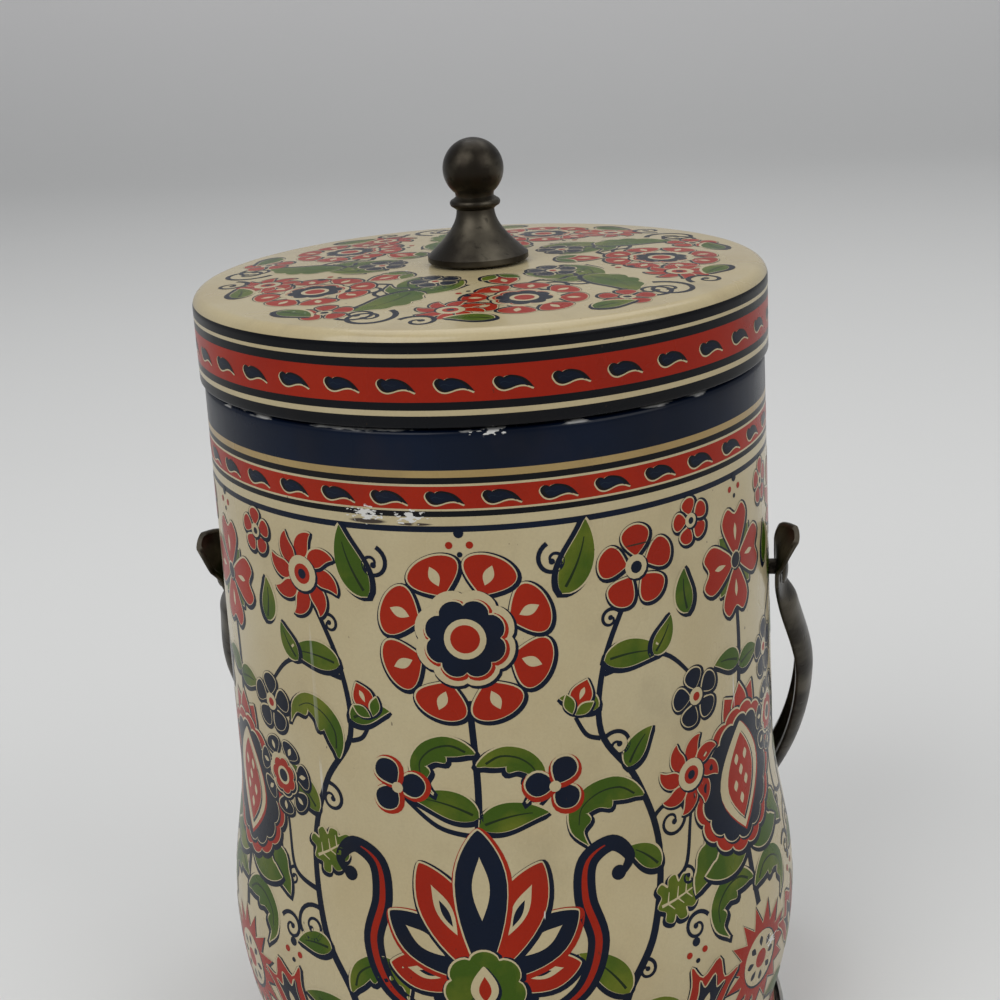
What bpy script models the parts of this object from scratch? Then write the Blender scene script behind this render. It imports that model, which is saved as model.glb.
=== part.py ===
"""Biscuit tin with a swinging strap handle and a lift-off lid.

The tin stands on z = 0 with its axis on Z. The handle turns on two rivets, about an axis along X,
and hangs at the back. Front is -Y. All sizes are in metres.
"""

import math

import bmesh
import bpy
import numpy as np

# Sizes of the body, all outside unless a name says otherwise
BODY_HEIGHT = 0.124
RIM_RADIUS = 0.0450
WAIST_RADIUS = 0.0457
WAIST_HEIGHT = 0.060
BELLY_RADIUS = 0.0490
BELLY_HEIGHT = 0.031
NECK_RADIUS = 0.0452
NECK_HEIGHT = 0.0095
TUCK_RADIUS = 0.0461
TUCK_HEIGHT = 0.0118
FOOT_RADIUS = 0.0466
WALL = 0.0006
RIM_ROLL_RADIUS = 0.0009

# Base panel and the seam that holds it
SEAM_HEIGHT = 0.0034
SEAM_SHEET = 0.0006
PANEL_HEIGHT = 0.0026
PANEL_SHEET = 0.0006
PANEL_RING_RADIUS = 0.034
PANEL_RING_RISE = 0.0008
PANEL_RING_WIDTH = 0.0030

# Lid
LID_OVERHANG = 0.0006
LID_SKIRT = 0.0115
LID_SHEET = 0.0006
LID_SHOULDER = 0.0022
LID_DOME_RISE = 0.0012
LID_HEM_WIDTH = 0.0018
LID_HEM_ROUND = 0.0004
COLLAR_DEPTH = 0.0050
COLLAR_SHEET = 0.0006
COLLAR_FLARE = 0.0006

# Knob on the lid
KNOB_BASE_RADIUS = 0.0080
KNOB_HEIGHT = 0.0192
KNOB_NECK_RADIUS = 0.0030
KNOB_BALL_RADIUS = 0.0048
KNOB_BEAD_RADIUS = 0.0040
KNOB_BASE_EDGE = 0.0010
SCREW_RADIUS = 0.0017
SCREW_REACH = 0.0080
SCREW_HEAD_RADIUS = 0.0034
SCREW_HEAD_HEIGHT = 0.0018
WASHER_RADIUS = 0.0060
WASHER_SHEET = 0.0008

# Strap handle
PIVOT_HEIGHT = 0.087
HANDLE_REACH = 0.097
HANDLE_SIDE_GAP = 0.00095
HANDLE_BACK_GAP = 0.0017
HANDLE_LEG = 0.0275
HANDLE_STANDOFF = 0.0008
STRAP_HALF_WIDTH = 0.0033
STRAP_CROWN = 0.0032
STRAP_SHEET = 0.0008
LEAF_LENGTH = 0.0080
LEAF_HALF_WIDTH = 0.0054
LEAF_CROWN = 0.0011
LEAF_ROOT = 0.0060
LEAF_CURL = 0.0022
LEAF_FADE = 0.0060

# Rivets that the handle turns on
RIVET_RADIUS = 0.0013
RIVET_HEAD_RADIUS = 0.0028
RIVET_HEAD_HEIGHT = 0.0009
RIVET_TAIL_RADIUS = 0.0024
RIVET_TAIL_HEIGHT = 0.0009
BURR_RADIUS = 0.0044
BURR_SHEET = 0.0006

# Clearances and cutting allowance
GAP = 0.0003
OVERRUN = 0.0020

# Shares and powers that shape the curves
BELLY_POWER_SHARE = 2.0
FOOT_POWER_SHARE = 1.5
LEAF_POWER_SHARE = 1.3
LEAF_CURL_POWER_SHARE = 1.5
DOME_SHARES = (1.0, 0.75, 0.5, 0.25)
SEAM_BEVEL_SHARE = 0.5
SCREW_RIM_SHARE = 0.35
SCREW_CROWN_SHARE = 0.7
RIVET_TAIL_SHARE = 0.8
MERGE_SHARE = 0.03

# Counts of facets
TURN_STEPS = 48
SMALL_STEPS = 32
PIN_STEPS = 20

# Colours
TIN_CREAM = (0.640, 0.560, 0.370)
BRIGHT_TIN = (0.560, 0.540, 0.480)
GUNMETAL = (0.055, 0.050, 0.045)
BLACK_LACQUER = (0.012, 0.012, 0.014)
STEEL = (0.400, 0.390, 0.370)


def clear_scene():
    for old in list(bpy.data.objects):
        bpy.data.objects.remove(old, do_unlink=True)


def material(name, colour, roughness, metallic):
    made = bpy.data.materials.new(name)
    made.use_nodes = True
    shader = made.node_tree.nodes["Principled BSDF"]
    shader.inputs["Base Color"].default_value = (*colour, 1.0)
    shader.inputs["Roughness"].default_value = roughness
    shader.inputs["Metallic"].default_value = metallic
    return made


def smooth(obj, degrees=35):
    obj.data.shade_smooth()
    obj.data.set_sharp_from_angle(angle=math.radians(degrees))


def arc(centre, radius, start, end, steps):
    """Points (r, z) of a round stretch, angles in degrees from +r towards +z."""
    angles = np.radians(np.linspace(start, end, steps))
    return [(centre[0] + radius * math.cos(a), centre[1] + radius * math.sin(a)) for a in angles]


def turned(name, outline, look, steps, closed=True):
    """A body of revolution about Z. The outline runs down its outer side."""
    mesh = bpy.data.meshes.new(name)
    points = [(r, 0.0, z) for r, z in outline]
    edges = [(i, i + 1) for i in range(len(points) - 1)]
    if closed:
        edges.append((len(points) - 1, 0))
    mesh.from_pydata(points, edges, [])
    obj = bpy.data.objects.new(name, mesh)
    bpy.context.scene.collection.objects.link(obj)
    screw = obj.modifiers.new("Turn", "SCREW")
    screw.axis = "Z"
    screw.steps = steps
    screw.render_steps = steps
    screw.use_merge_vertices = True
    screw.merge_threshold = GAP * MERGE_SHARE
    bake(obj)
    mesh_look(obj, look)
    smooth(obj)
    return obj


def bake(obj):
    """Replaces the object's mesh by its evaluated one and drops the modifiers."""
    graph = bpy.context.evaluated_depsgraph_get()
    made = bpy.data.meshes.new_from_object(obj.evaluated_get(graph))
    made.name = obj.data.name
    obj.modifiers.clear()
    obj.data = made


def mesh_look(obj, look):
    obj.data.materials.clear()
    obj.data.materials.append(look)


def cutter(name, mesh_maker):
    mesh = bpy.data.meshes.new(name)
    shape = bmesh.new()
    mesh_maker(shape)
    shape.to_mesh(mesh)
    shape.free()
    obj = bpy.data.objects.new(name, mesh)
    bpy.context.scene.collection.objects.link(obj)
    obj.hide_render = True
    obj.display_type = "WIRE"
    return obj


def pin_cutter(name, radius, start, end, height):
    """A round cutter along X from start to end, at the given height."""

    def make(shape):
        bmesh.ops.create_cone(
            shape,
            cap_ends=True,
            segments=PIN_STEPS,
            radius1=radius,
            radius2=radius,
            depth=end - start,
        )

    made = cutter(name, make)
    made.location = ((start + end) / 2, 0.0, height)
    made.rotation_euler = (0.0, math.radians(90), 0.0)
    return made


def cut(obj, tool):
    step = obj.modifiers.new(tool.name, "BOOLEAN")
    step.operation = "DIFFERENCE"
    step.solver = "EXACT"
    step.object = tool


def eased(start, end, share):
    """A half-cosine blend between two values."""
    return start + (end - start) * (1 - math.cos(math.pi * share)) / 2


def body_radius(z):
    """Outside radius of the body wall at a height."""
    if z >= WAIST_HEIGHT:
        share = (BODY_HEIGHT - z) / (BODY_HEIGHT - WAIST_HEIGHT)
        return RIM_RADIUS + (WAIST_RADIUS - RIM_RADIUS) * share
    if z >= BELLY_HEIGHT:
        share = (WAIST_HEIGHT - z) / (WAIST_HEIGHT - BELLY_HEIGHT)
        return eased(WAIST_RADIUS, BELLY_RADIUS, share)
    if z >= TUCK_HEIGHT:
        share = (BELLY_HEIGHT - z) / (BELLY_HEIGHT - TUCK_HEIGHT)
        return BELLY_RADIUS - (BELLY_RADIUS - TUCK_RADIUS) * share**BELLY_POWER_SHARE
    if z >= NECK_HEIGHT:
        share = (TUCK_HEIGHT - z) / (TUCK_HEIGHT - NECK_HEIGHT)
        return TUCK_RADIUS + (NECK_RADIUS - TUCK_RADIUS) * math.sin(math.pi / 2 * share)
    share = (NECK_HEIGHT - z) / NECK_HEIGHT
    return NECK_RADIUS + (FOOT_RADIUS - NECK_RADIUS) * share**FOOT_POWER_SHARE


def body_heights():
    """Heights of the wall's stations, from the rim roll down to the edge in the seam."""
    roll_foot = BODY_HEIGHT - RIM_ROLL_RADIUS
    bottom = SEAM_SHEET + GAP
    stretches = (
        (roll_foot, WAIST_HEIGHT, 2),
        (WAIST_HEIGHT, BELLY_HEIGHT, 7),
        (BELLY_HEIGHT, TUCK_HEIGHT, 5),
        (TUCK_HEIGHT, NECK_HEIGHT, 3),
        (NECK_HEIGHT, bottom, 3),
    )
    heights = [roll_foot]
    for top, foot, steps in stretches:
        heights += list(np.linspace(top, foot, steps + 1))[1:]
    return heights


def make_body(look):
    """The wall from rim to foot, with its edge rolled inwards at the top."""
    outer = [(body_radius(z), z) for z in body_heights()]
    inner = [(r - WALL, z) for r, z in reversed(outer)]
    inner_foot = (RIM_RADIUS - WALL, BODY_HEIGHT - 2 * RIM_ROLL_RADIUS)
    roll_centre = (RIM_RADIUS - RIM_ROLL_RADIUS, BODY_HEIGHT - RIM_ROLL_RADIUS)
    roll = arc(roll_centre, RIM_ROLL_RADIUS, 270, 0, 8)[1:-1]
    outline = outer + inner[:-1] + [inner_foot] + roll
    body = turned("body_wall", outline, look, TURN_STEPS)
    for side, tag in ((1, "right"), (-1, "left")):
        inside = side * (body_radius(PIVOT_HEIGHT) - WALL - OVERRUN)
        outside = side * (body_radius(PIVOT_HEIGHT) + OVERRUN)
        ends = sorted((inside, outside))
        cut(body, pin_cutter(tag + "_rivet_hole", RIVET_RADIUS + GAP, *ends, PIVOT_HEIGHT))
    bake_and_clean(body, look)
    return body


def bake_and_clean(obj, look):
    bake(obj)
    mesh_look(obj, look)
    smooth(obj)


def make_base(look):
    """The pressed base: a recessed panel with a stiffening ring, and a seam round the wall's edge."""
    edge_outer = body_radius(SEAM_SHEET + GAP)
    seam_top = body_radius(SEAM_HEIGHT)
    seam_inner = max(edge_outer, seam_top) + GAP
    seam_radius = seam_inner + SEAM_SHEET
    chuck_outer = min(edge_outer, seam_top) - WALL - GAP
    chuck_inner = chuck_outer - SEAM_SHEET
    ring = PANEL_RING_RADIUS
    half = PANEL_RING_WIDTH / 2
    under = PANEL_HEIGHT - PANEL_SHEET
    bevel = SEAM_SHEET * SEAM_BEVEL_SHARE
    outline = [
        (0.0, PANEL_HEIGHT),
        (ring - PANEL_RING_WIDTH, PANEL_HEIGHT),
        (ring - half, PANEL_HEIGHT + PANEL_RING_RISE),
        (ring + half, PANEL_HEIGHT + PANEL_RING_RISE),
        (ring + PANEL_RING_WIDTH, PANEL_HEIGHT),
        (chuck_inner, PANEL_HEIGHT),
        (chuck_inner, SEAM_HEIGHT),
        (chuck_outer, SEAM_HEIGHT),
        (chuck_outer, SEAM_SHEET),
        (seam_inner, SEAM_SHEET),
        (seam_inner, SEAM_HEIGHT),
        (seam_radius - bevel, SEAM_HEIGHT),
        (seam_radius, SEAM_HEIGHT - SEAM_SHEET),
        (seam_radius, SEAM_SHEET),
        (seam_radius - bevel, 0.0),
        (chuck_inner - bevel, 0.0),
        (chuck_inner - SEAM_SHEET, SEAM_SHEET),
        (chuck_inner - SEAM_SHEET, under),
        (ring + PANEL_RING_WIDTH, under),
        (ring + half, under + PANEL_RING_RISE),
        (ring - half, under + PANEL_RING_RISE),
        (ring - PANEL_RING_WIDTH, under),
        (0.0, under),
    ]
    return turned("base_panel", outline, look, TURN_STEPS, closed=False)


LID_RADIUS = RIM_RADIUS + LID_OVERHANG
LID_FOOT = BODY_HEIGHT + GAP
LID_SKIRT_TOP = LID_FOOT + LID_SKIRT
LID_TOP = LID_SKIRT_TOP + LID_SHOULDER + LID_DOME_RISE


def dome_height(radius, inset):
    """Height of the low dome at a radius. inset is the sheet under the outside."""
    edge = LID_RADIUS - LID_SHOULDER
    return LID_TOP - LID_DOME_RISE * (radius / edge) ** 2 - inset


def make_lid(look, lift):
    """The lid's shell: a low dome, a rounded shoulder, a straight skirt and a hem turned inwards."""
    edge = LID_RADIUS - LID_SHOULDER
    dome_radii = [edge * share for share in DOME_SHARES]
    hole = SCREW_RADIUS + GAP
    inner_shoulder = LID_SHOULDER - LID_SHEET
    outer = [(hole, dome_height(hole, 0.0))]
    outer += [(r, dome_height(r, 0.0)) for r in reversed(dome_radii)][:-1]
    outer += arc((edge, LID_SKIRT_TOP), LID_SHOULDER, 90, 0, 6)
    outer += arc((LID_RADIUS - LID_HEM_ROUND, LID_FOOT + LID_HEM_ROUND), LID_HEM_ROUND, 0, -90, 3)
    hem = [
        (LID_RADIUS - LID_HEM_WIDTH, LID_FOOT),
        (LID_RADIUS - LID_HEM_WIDTH, LID_FOOT + LID_SHEET),
        (LID_RADIUS - LID_SHEET, LID_FOOT + LID_SHEET),
    ]
    inner = arc((edge, LID_SKIRT_TOP), inner_shoulder, 0, 90, 5)
    inner += [(r, dome_height(r, LID_SHEET)) for r in dome_radii[1:]]
    inner += [(hole, dome_height(hole, LID_SHEET))]
    lid = turned("lid_shell", outer + hem + inner, look, TURN_STEPS)
    lid.parent = lift
    return lid


def make_collar(look, lift):
    """The plug under the lid: a ring that goes down inside the rim, its flange held by the hem."""
    wall_radius = RIM_RADIUS - 2 * RIM_ROLL_RADIUS - GAP
    flange_radius = LID_RADIUS - LID_SHEET - GAP
    flange_foot = LID_FOOT + LID_SHEET + GAP
    flange_top = flange_foot + COLLAR_SHEET
    foot = BODY_HEIGHT - COLLAR_DEPTH
    outline = [
        (flange_radius, flange_top),
        (flange_radius, flange_foot),
        (wall_radius, flange_foot),
        (wall_radius, foot + COLLAR_FLARE),
        (wall_radius - COLLAR_FLARE, foot),
        (wall_radius - COLLAR_SHEET - COLLAR_FLARE, foot),
        (wall_radius - COLLAR_SHEET, foot + COLLAR_FLARE),
        (wall_radius - COLLAR_SHEET, flange_top),
    ]
    collar = turned("lid_collar", outline, look, TURN_STEPS)
    collar.parent = lift
    return collar


def knob_outline(foot):
    """The knob's outside from its top down to its foot: a ball, a bead, a neck and a flared skirt."""
    top = foot + KNOB_HEIGHT
    ball = (0.0, top - KNOB_BALL_RADIUS)
    bead_height = ball[1] - KNOB_BALL_RADIUS - KNOB_BASE_EDGE / 2
    points = arc(ball, KNOB_BALL_RADIUS, 90, -50, 11)
    points += [
        (KNOB_NECK_RADIUS, bead_height + KNOB_BASE_EDGE),
        (KNOB_BEAD_RADIUS, bead_height + KNOB_BASE_EDGE / 2),
        (KNOB_BEAD_RADIUS, bead_height - KNOB_BASE_EDGE / 2),
        (KNOB_NECK_RADIUS, bead_height - KNOB_BASE_EDGE),
    ]
    skirt_top = bead_height - KNOB_BASE_EDGE
    skirt_foot = foot + KNOB_BASE_EDGE
    for share in np.linspace(0, 1, 7)[1:]:
        flare = 1 - math.cos(math.pi / 2 * share)
        radius = KNOB_NECK_RADIUS + (KNOB_BASE_RADIUS - KNOB_NECK_RADIUS) * flare
        points.append((radius, skirt_top + (skirt_foot - skirt_top) * share))
    points.append((KNOB_BASE_RADIUS, foot))
    return points


def make_knob(look, lift):
    """The knob, with a blind hole up its foot for the screw."""
    foot = dome_height(0.0, 0.0) + GAP
    hole = SCREW_RADIUS + GAP
    bore_top = foot + SCREW_REACH
    outline = knob_outline(foot) + [(hole, foot), (hole, bore_top), (0.0, bore_top)]
    knob = turned("lid_knob", outline, look, SMALL_STEPS, closed=False)
    knob.parent = lift
    return knob


def make_knob_fixing(steel, lift):
    """The washer and the round-head screw under the lid."""
    sheet_foot = dome_height(WASHER_RADIUS, LID_SHEET)
    washer_top = sheet_foot - GAP
    washer_foot = washer_top - WASHER_SHEET
    hole = SCREW_RADIUS + GAP
    ring = [
        (hole, washer_top),
        (WASHER_RADIUS, washer_top),
        (WASHER_RADIUS, washer_foot),
        (hole, washer_foot),
    ]
    washer = turned("knob_washer", ring, steel, SMALL_STEPS)
    head_top = washer_foot - GAP
    screw_top = dome_height(0.0, 0.0) + SCREW_REACH
    head_foot = head_top - SCREW_HEAD_HEIGHT
    outline = [(0.0, screw_top), (SCREW_RADIUS, screw_top), (SCREW_RADIUS, head_top)]
    rim = head_top - SCREW_HEAD_HEIGHT * SCREW_RIM_SHARE
    crown = head_top - (head_top - head_foot) * (1 + SCREW_CROWN_SHARE) / 2
    outline += [(SCREW_HEAD_RADIUS, head_top), (SCREW_HEAD_RADIUS, rim)]
    outline += [(SCREW_HEAD_RADIUS * SCREW_CROWN_SHARE, crown), (0.0, head_foot)]
    screw = turned("knob_screw", outline, steel, PIN_STEPS, closed=False)
    for piece in (washer, screw):
        piece.parent = lift


# The handle clears the widest part of the body at its sides, and behind it where it hangs
BODY_WIDEST = max(RIM_RADIUS, WAIST_RADIUS, BELLY_RADIUS)
HANDLE_HALF_WIDTH = BODY_WIDEST + HANDLE_SIDE_GAP
HANDLE_REST_ANGLE = math.acos((BODY_WIDEST + HANDLE_BACK_GAP) / HANDLE_REACH)


def leaf_share(v):
    """0 on the plain strap, rising to 1 at the leaf's end. v is measured from the pivot."""
    return min(1.0, max(0.0, (LEAF_ROOT - v) / (LEAF_ROOT + LEAF_LENGTH)))


def handle_half_width(v):
    """Half width of the handle's sheet."""
    return STRAP_HALF_WIDTH + (LEAF_HALF_WIDTH - STRAP_HALF_WIDTH) * leaf_share(v) ** LEAF_POWER_SHARE


def handle_crown(v):
    """How far the sheet's middle stands out from its edges. It is low under the rivet's head."""
    share = (RIVET_HEAD_RADIUS + LEAF_FADE - v) / LEAF_FADE
    return eased(STRAP_CROWN, LEAF_CROWN, min(1.0, max(0.0, share)))


def pivot_half_width():
    """Distance from the axis of the tin to the edges of the leaf at the pivot."""
    return body_radius(PIVOT_HEIGHT) + HANDLE_STANDOFF


def handle_path():
    """Stations of the right half, from the leaf to the middle: (u, v, turn) in the handle plane."""
    start = pivot_half_width()
    stations = []
    for v in np.linspace(-LEAF_LENGTH, -RIVET_HEAD_RADIUS, 7):
        share = (-v - RIVET_HEAD_RADIUS) / (LEAF_LENGTH - RIVET_HEAD_RADIUS)
        stations.append((start + LEAF_CURL * share**LEAF_CURL_POWER_SHARE, v, 0.0))
    for share in np.linspace(0, 1, 11)[:-1]:
        v = HANDLE_LEG * share
        stations.append((eased(start, HANDLE_HALF_WIDTH, share), v, 0.0))
    for angle in np.radians(np.linspace(0, 90, 16)):
        u = HANDLE_HALF_WIDTH * math.cos(angle)
        v = HANDLE_LEG + (HANDLE_REACH - HANDLE_LEG) * math.sin(angle)
        stations.append((u, v, angle))
    return stations


def strap_section(half_width, crown, steps=8):
    """A round-backed sheet: (across, out) points of its outside, then of its inside."""
    angles = np.linspace(-math.pi / 2, math.pi / 2, steps)
    rise = crown - STRAP_SHEET
    inner_half = half_width - STRAP_SHEET
    outside = [(half_width * math.sin(a), STRAP_SHEET + rise * math.cos(a)) for a in angles]
    inside = [(inner_half * math.sin(a), rise * math.cos(a)) for a in reversed(angles)]
    return outside + inside


def handle_sections():
    """Rings of points (x, v, across) from the right tip round to the left one."""
    path = handle_path()
    half = []
    for u, v, turn in path:
        ring = []
        for across, out in strap_section(handle_half_width(v), handle_crown(v)):
            ring.append((u + out * math.cos(turn), v + out * math.sin(turn), across))
        half.append(ring)
    mirrored = [[(-x, v, across) for x, v, across in ring] for ring in reversed(half[:-1])]
    return half + mirrored


def make_handle(look, hinge):
    """The stamped strap handle: a round-backed band whose ends widen to leaves that curl out."""
    shape = bmesh.new()
    rings = []
    along = (math.cos(HANDLE_REST_ANGLE), -math.sin(HANDLE_REST_ANGLE))
    across_axis = (math.sin(HANDLE_REST_ANGLE), math.cos(HANDLE_REST_ANGLE))
    for ring in handle_sections():
        verts = []
        for x, v, across in ring:
            y = v * along[0] + across * across_axis[0]
            z = v * along[1] + across * across_axis[1]
            verts.append(shape.verts.new((x, y, z)))
        rings.append(verts)
    count = len(rings[0])
    for left, right in zip(rings, rings[1:]):
        for i in range(count):
            j = (i + 1) % count
            shape.faces.new((left[i], left[j], right[j], right[i]))
    shape.faces.new(list(reversed(rings[0])))
    shape.faces.new(rings[-1])
    bmesh.ops.recalc_face_normals(shape, faces=shape.faces[:])
    mesh = bpy.data.meshes.new("handle_strap")
    shape.to_mesh(mesh)
    shape.free()
    handle = bpy.data.objects.new("handle_strap", mesh)
    bpy.context.scene.collection.objects.link(handle)
    handle.location = (0.0, 0.0, PIVOT_HEIGHT)
    bpy.context.view_layer.update()
    for side, tag in ((1, "right"), (-1, "left")):
        inside = side * (pivot_half_width() - OVERRUN)
        outside = side * (pivot_half_width() + STRAP_CROWN + OVERRUN)
        ends = sorted((inside, outside))
        cut(handle, pin_cutter(tag + "_leaf_hole", RIVET_RADIUS + GAP, *ends, PIVOT_HEIGHT))
    bake_and_clean(handle, look)
    handle.parent = hinge
    handle.location = (0.0, 0.0, 0.0)
    return handle


def make_rivet(tag, side, look):
    """A rivet along X with its burr: a low head outside the leaf, a shank, and a tail inside."""
    wall_inside = body_radius(PIVOT_HEIGHT) - WALL
    leaf_outside = pivot_half_width() + LEAF_CROWN
    head_foot = leaf_outside + GAP
    burr_top = wall_inside - BURR_RADIUS * math.tan(math.pi / TURN_STEPS) - GAP
    burr_foot = burr_top - BURR_SHEET
    tail_top = burr_foot - GAP
    outline = [
        (RIVET_HEAD_RADIUS * share, head_foot + RIVET_HEAD_HEIGHT * height)
        for share, height in arc((0.0, 0.0), 1.0, 90, 0, 5)
    ]
    outline += [
        (RIVET_RADIUS, head_foot),
        (RIVET_RADIUS, tail_top),
        (RIVET_TAIL_RADIUS, tail_top),
        (RIVET_TAIL_RADIUS * RIVET_TAIL_SHARE, tail_top - RIVET_TAIL_HEIGHT * RIVET_TAIL_SHARE),
        (0.0, tail_top - RIVET_TAIL_HEIGHT),
    ]
    rivet = turned(tag + "_rivet", outline, look, PIN_STEPS, closed=False)
    place_sideways(rivet, side)
    hole = RIVET_RADIUS + GAP
    ring = [(hole, burr_top), (BURR_RADIUS, burr_top), (BURR_RADIUS, burr_foot), (hole, burr_foot)]
    place_sideways(turned(tag + "_rivet_burr", ring, look, PIN_STEPS), side)


def place_sideways(obj, side):
    """Turns a piece made along +Z to lie along +X or -X at the pivot."""
    obj.rotation_euler = (0.0, side * math.radians(90), 0.0)
    obj.location = (0.0, 0.0, PIVOT_HEIGHT)


def empty(name, location):
    made = bpy.data.objects.new(name, None)
    made.location = location
    bpy.context.scene.collection.objects.link(made)
    return made


def main():
    clear_scene()
    printed = material("printed_tinplate", TIN_CREAM, 0.28, 0.0)
    bright = material("bright_tinplate", BRIGHT_TIN, 0.30, 0.9)
    gunmetal = material("gunmetal", GUNMETAL, 0.35, 0.9)
    lacquer = material("black_lacquer", BLACK_LACQUER, 0.35, 0.0)
    steel = material("plated_steel", STEEL, 0.35, 0.9)
    handle_axis = empty("handle_hinge", (0.0, 0.0, PIVOT_HEIGHT))
    lid_lift = empty("lid_lift", (0.0, 0.0, 0.0))
    make_body(printed)
    make_base(bright)
    make_lid(printed, lid_lift)
    make_collar(lacquer, lid_lift)
    make_knob(gunmetal, lid_lift)
    make_knob_fixing(steel, lid_lift)
    make_handle(gunmetal, handle_axis)
    for side, tag in ((1, "right"), (-1, "left")):
        make_rivet(tag, side, gunmetal)


main()
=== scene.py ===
import math

import bpy
from mathutils import Matrix, Vector
from mathutils.geometry import delaunay_2d_cdt


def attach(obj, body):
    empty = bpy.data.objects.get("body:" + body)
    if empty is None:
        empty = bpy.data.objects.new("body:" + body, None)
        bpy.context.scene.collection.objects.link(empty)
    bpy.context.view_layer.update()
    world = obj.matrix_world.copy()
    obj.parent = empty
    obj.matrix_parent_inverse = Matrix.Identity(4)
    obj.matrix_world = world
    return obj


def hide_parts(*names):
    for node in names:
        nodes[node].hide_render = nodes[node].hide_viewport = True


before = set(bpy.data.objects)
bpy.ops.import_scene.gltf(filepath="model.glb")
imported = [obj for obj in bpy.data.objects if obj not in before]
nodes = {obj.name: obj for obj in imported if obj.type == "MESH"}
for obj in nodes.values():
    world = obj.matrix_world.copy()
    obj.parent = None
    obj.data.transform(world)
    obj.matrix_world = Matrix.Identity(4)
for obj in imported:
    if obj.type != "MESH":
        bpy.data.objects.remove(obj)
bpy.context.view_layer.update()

mm = 0.001

# wall of the tin, sizes as in the solid
tin = {
    "height": 0.124, "rim": 0.0450, "waist": 0.0457, "waistAt": 0.060,
    "belly": 0.0490, "bellyAt": 0.031, "tuck": 0.0461, "tuckAt": 0.0118,
    "neck": 0.0452, "neckAt": 0.0095, "foot": 0.0466,
    "sheet": 0.0006, "roll": 0.0009,
    "edge": 0.0009,       # the wall's foot stands this high, inside the base seam
    "inkRoom": 0.00006,   # the wall is drawn in by this, so that the ink stays inside the solid
    "around": 240,
    "wrap": 46.0,         # mm of print to one radian
}


def eased(start, end, share):
    return start + (end - start) * (1 - math.cos(math.pi * share)) / 2


def wallRadius(z):
    t = tin
    if z >= t["waistAt"]:
        return t["rim"] + (t["waist"] - t["rim"]) * (t["height"] - z) / (t["height"] - t["waistAt"])
    if z >= t["bellyAt"]:
        return eased(t["waist"], t["belly"], (t["waistAt"] - z) / (t["waistAt"] - t["bellyAt"]))
    if z >= t["tuckAt"]:
        return t["belly"] - (t["belly"] - t["tuck"]) * ((t["bellyAt"] - z) / (t["bellyAt"] - t["tuckAt"])) ** 2
    if z >= t["neckAt"]:
        share = (t["tuckAt"] - z) / (t["tuckAt"] - t["neckAt"])
        return t["tuck"] + (t["neck"] - t["tuck"]) * math.sin(math.pi / 2 * share)
    return t["neck"] + (t["foot"] - t["neck"]) * ((t["neckAt"] - z) / t["neckAt"]) ** 1.5


# colours, linear: each ink and the one it drifts to
paint = {
    "cream": ((0.422, 0.354, 0.208), (0.384, 0.308, 0.166)),
    "gold": ((0.310, 0.215, 0.078), (0.260, 0.170, 0.055)),
    "navy": ((0.0010, 0.0052, 0.0180), (0.0006, 0.0028, 0.0090)),
    "black": ((0.0022, 0.0026, 0.0040), (0.0016, 0.0018, 0.0026)),
    "red": ((0.285, 0.0145, 0.0020), (0.225, 0.0080, 0.0012)),
    "green": ((0.036, 0.074, 0.0030), (0.105, 0.125, 0.0090)),
    "leafDark": ((0.010, 0.022, 0.0040), (0.008, 0.016, 0.0030)),
    "sheen": ((0.0070, 0.0160, 0.0300), (0.0040, 0.0090, 0.0180)),
}
wear = {
    "metal": (0.60, 0.59, 0.56),
    "dirt": (0.030, 0.018, 0.010),
    "rimWearAndHighlight": (0.12345, 0.12402),   # heights between which the rim is rubbed to bare metal and given a painted highlight along its roll
    # worn places: x, y, z in metres, then how far each reaches along and up
    "scuffs": [(-0.0120, -0.0435, 0.1116, 0.0034, 0.0018), (-0.0052, -0.0448, 0.1113, 0.0034, 0.0018),
               (0.0075, -0.0444, 0.1236, 0.0042, 0.0009), (0.0210, 0.0398, 0.1120, 0.0060, 0.0013),
               (-0.0400, 0.0205, 0.1162, 0.0040, 0.0010), (-0.0340, 0.0350, 0.0330, 0.0040, 0.0022),
               (0.0448, -0.0195, 0.0290, 0.0028, 0.0016), (0.0050, 0.0488, 0.0300, 0.0050, 0.0020),
               (-0.0290, -0.0372, 0.0580, 0.0018, 0.0010), (0.0300, 0.0340, 0.1345, 0.0030, 0.0010)],
    # thin scratches, given in the same way
    "scratches": [(-0.0116, -0.0436, 0.1105, 0.0034, 0.00045), (-0.0046, -0.0449, 0.1103, 0.0030, 0.00026),
                  (0.0260, -0.0366, 0.1042, 0.0050, 0.00016), (-0.0200, 0.0406, 0.1100, 0.0110, 0.00020),
                  (0.0380, 0.0245, 0.0900, 0.0045, 0.00016)],
}


# node helpers
def addNode(tree, kind, **values):
    node = tree.nodes.new(kind)
    for key, value in values.items():
        if hasattr(node, key):
            setattr(node, key, value)
        else:
            node.inputs[key].default_value = value
    return node


def join(tree, fromSocket, toSocket):
    tree.links.new(fromSocket, toSocket)


def mathNode(tree, operation, a, b=None):
    node = addNode(tree, "ShaderNodeMath", operation=operation)
    for index, value in enumerate((a, b)):
        if value is None:
            continue
        if isinstance(value, (int, float)):
            node.inputs[index].default_value = value
        else:
            join(tree, value, node.inputs[index])
    return node.outputs[0]


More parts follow.
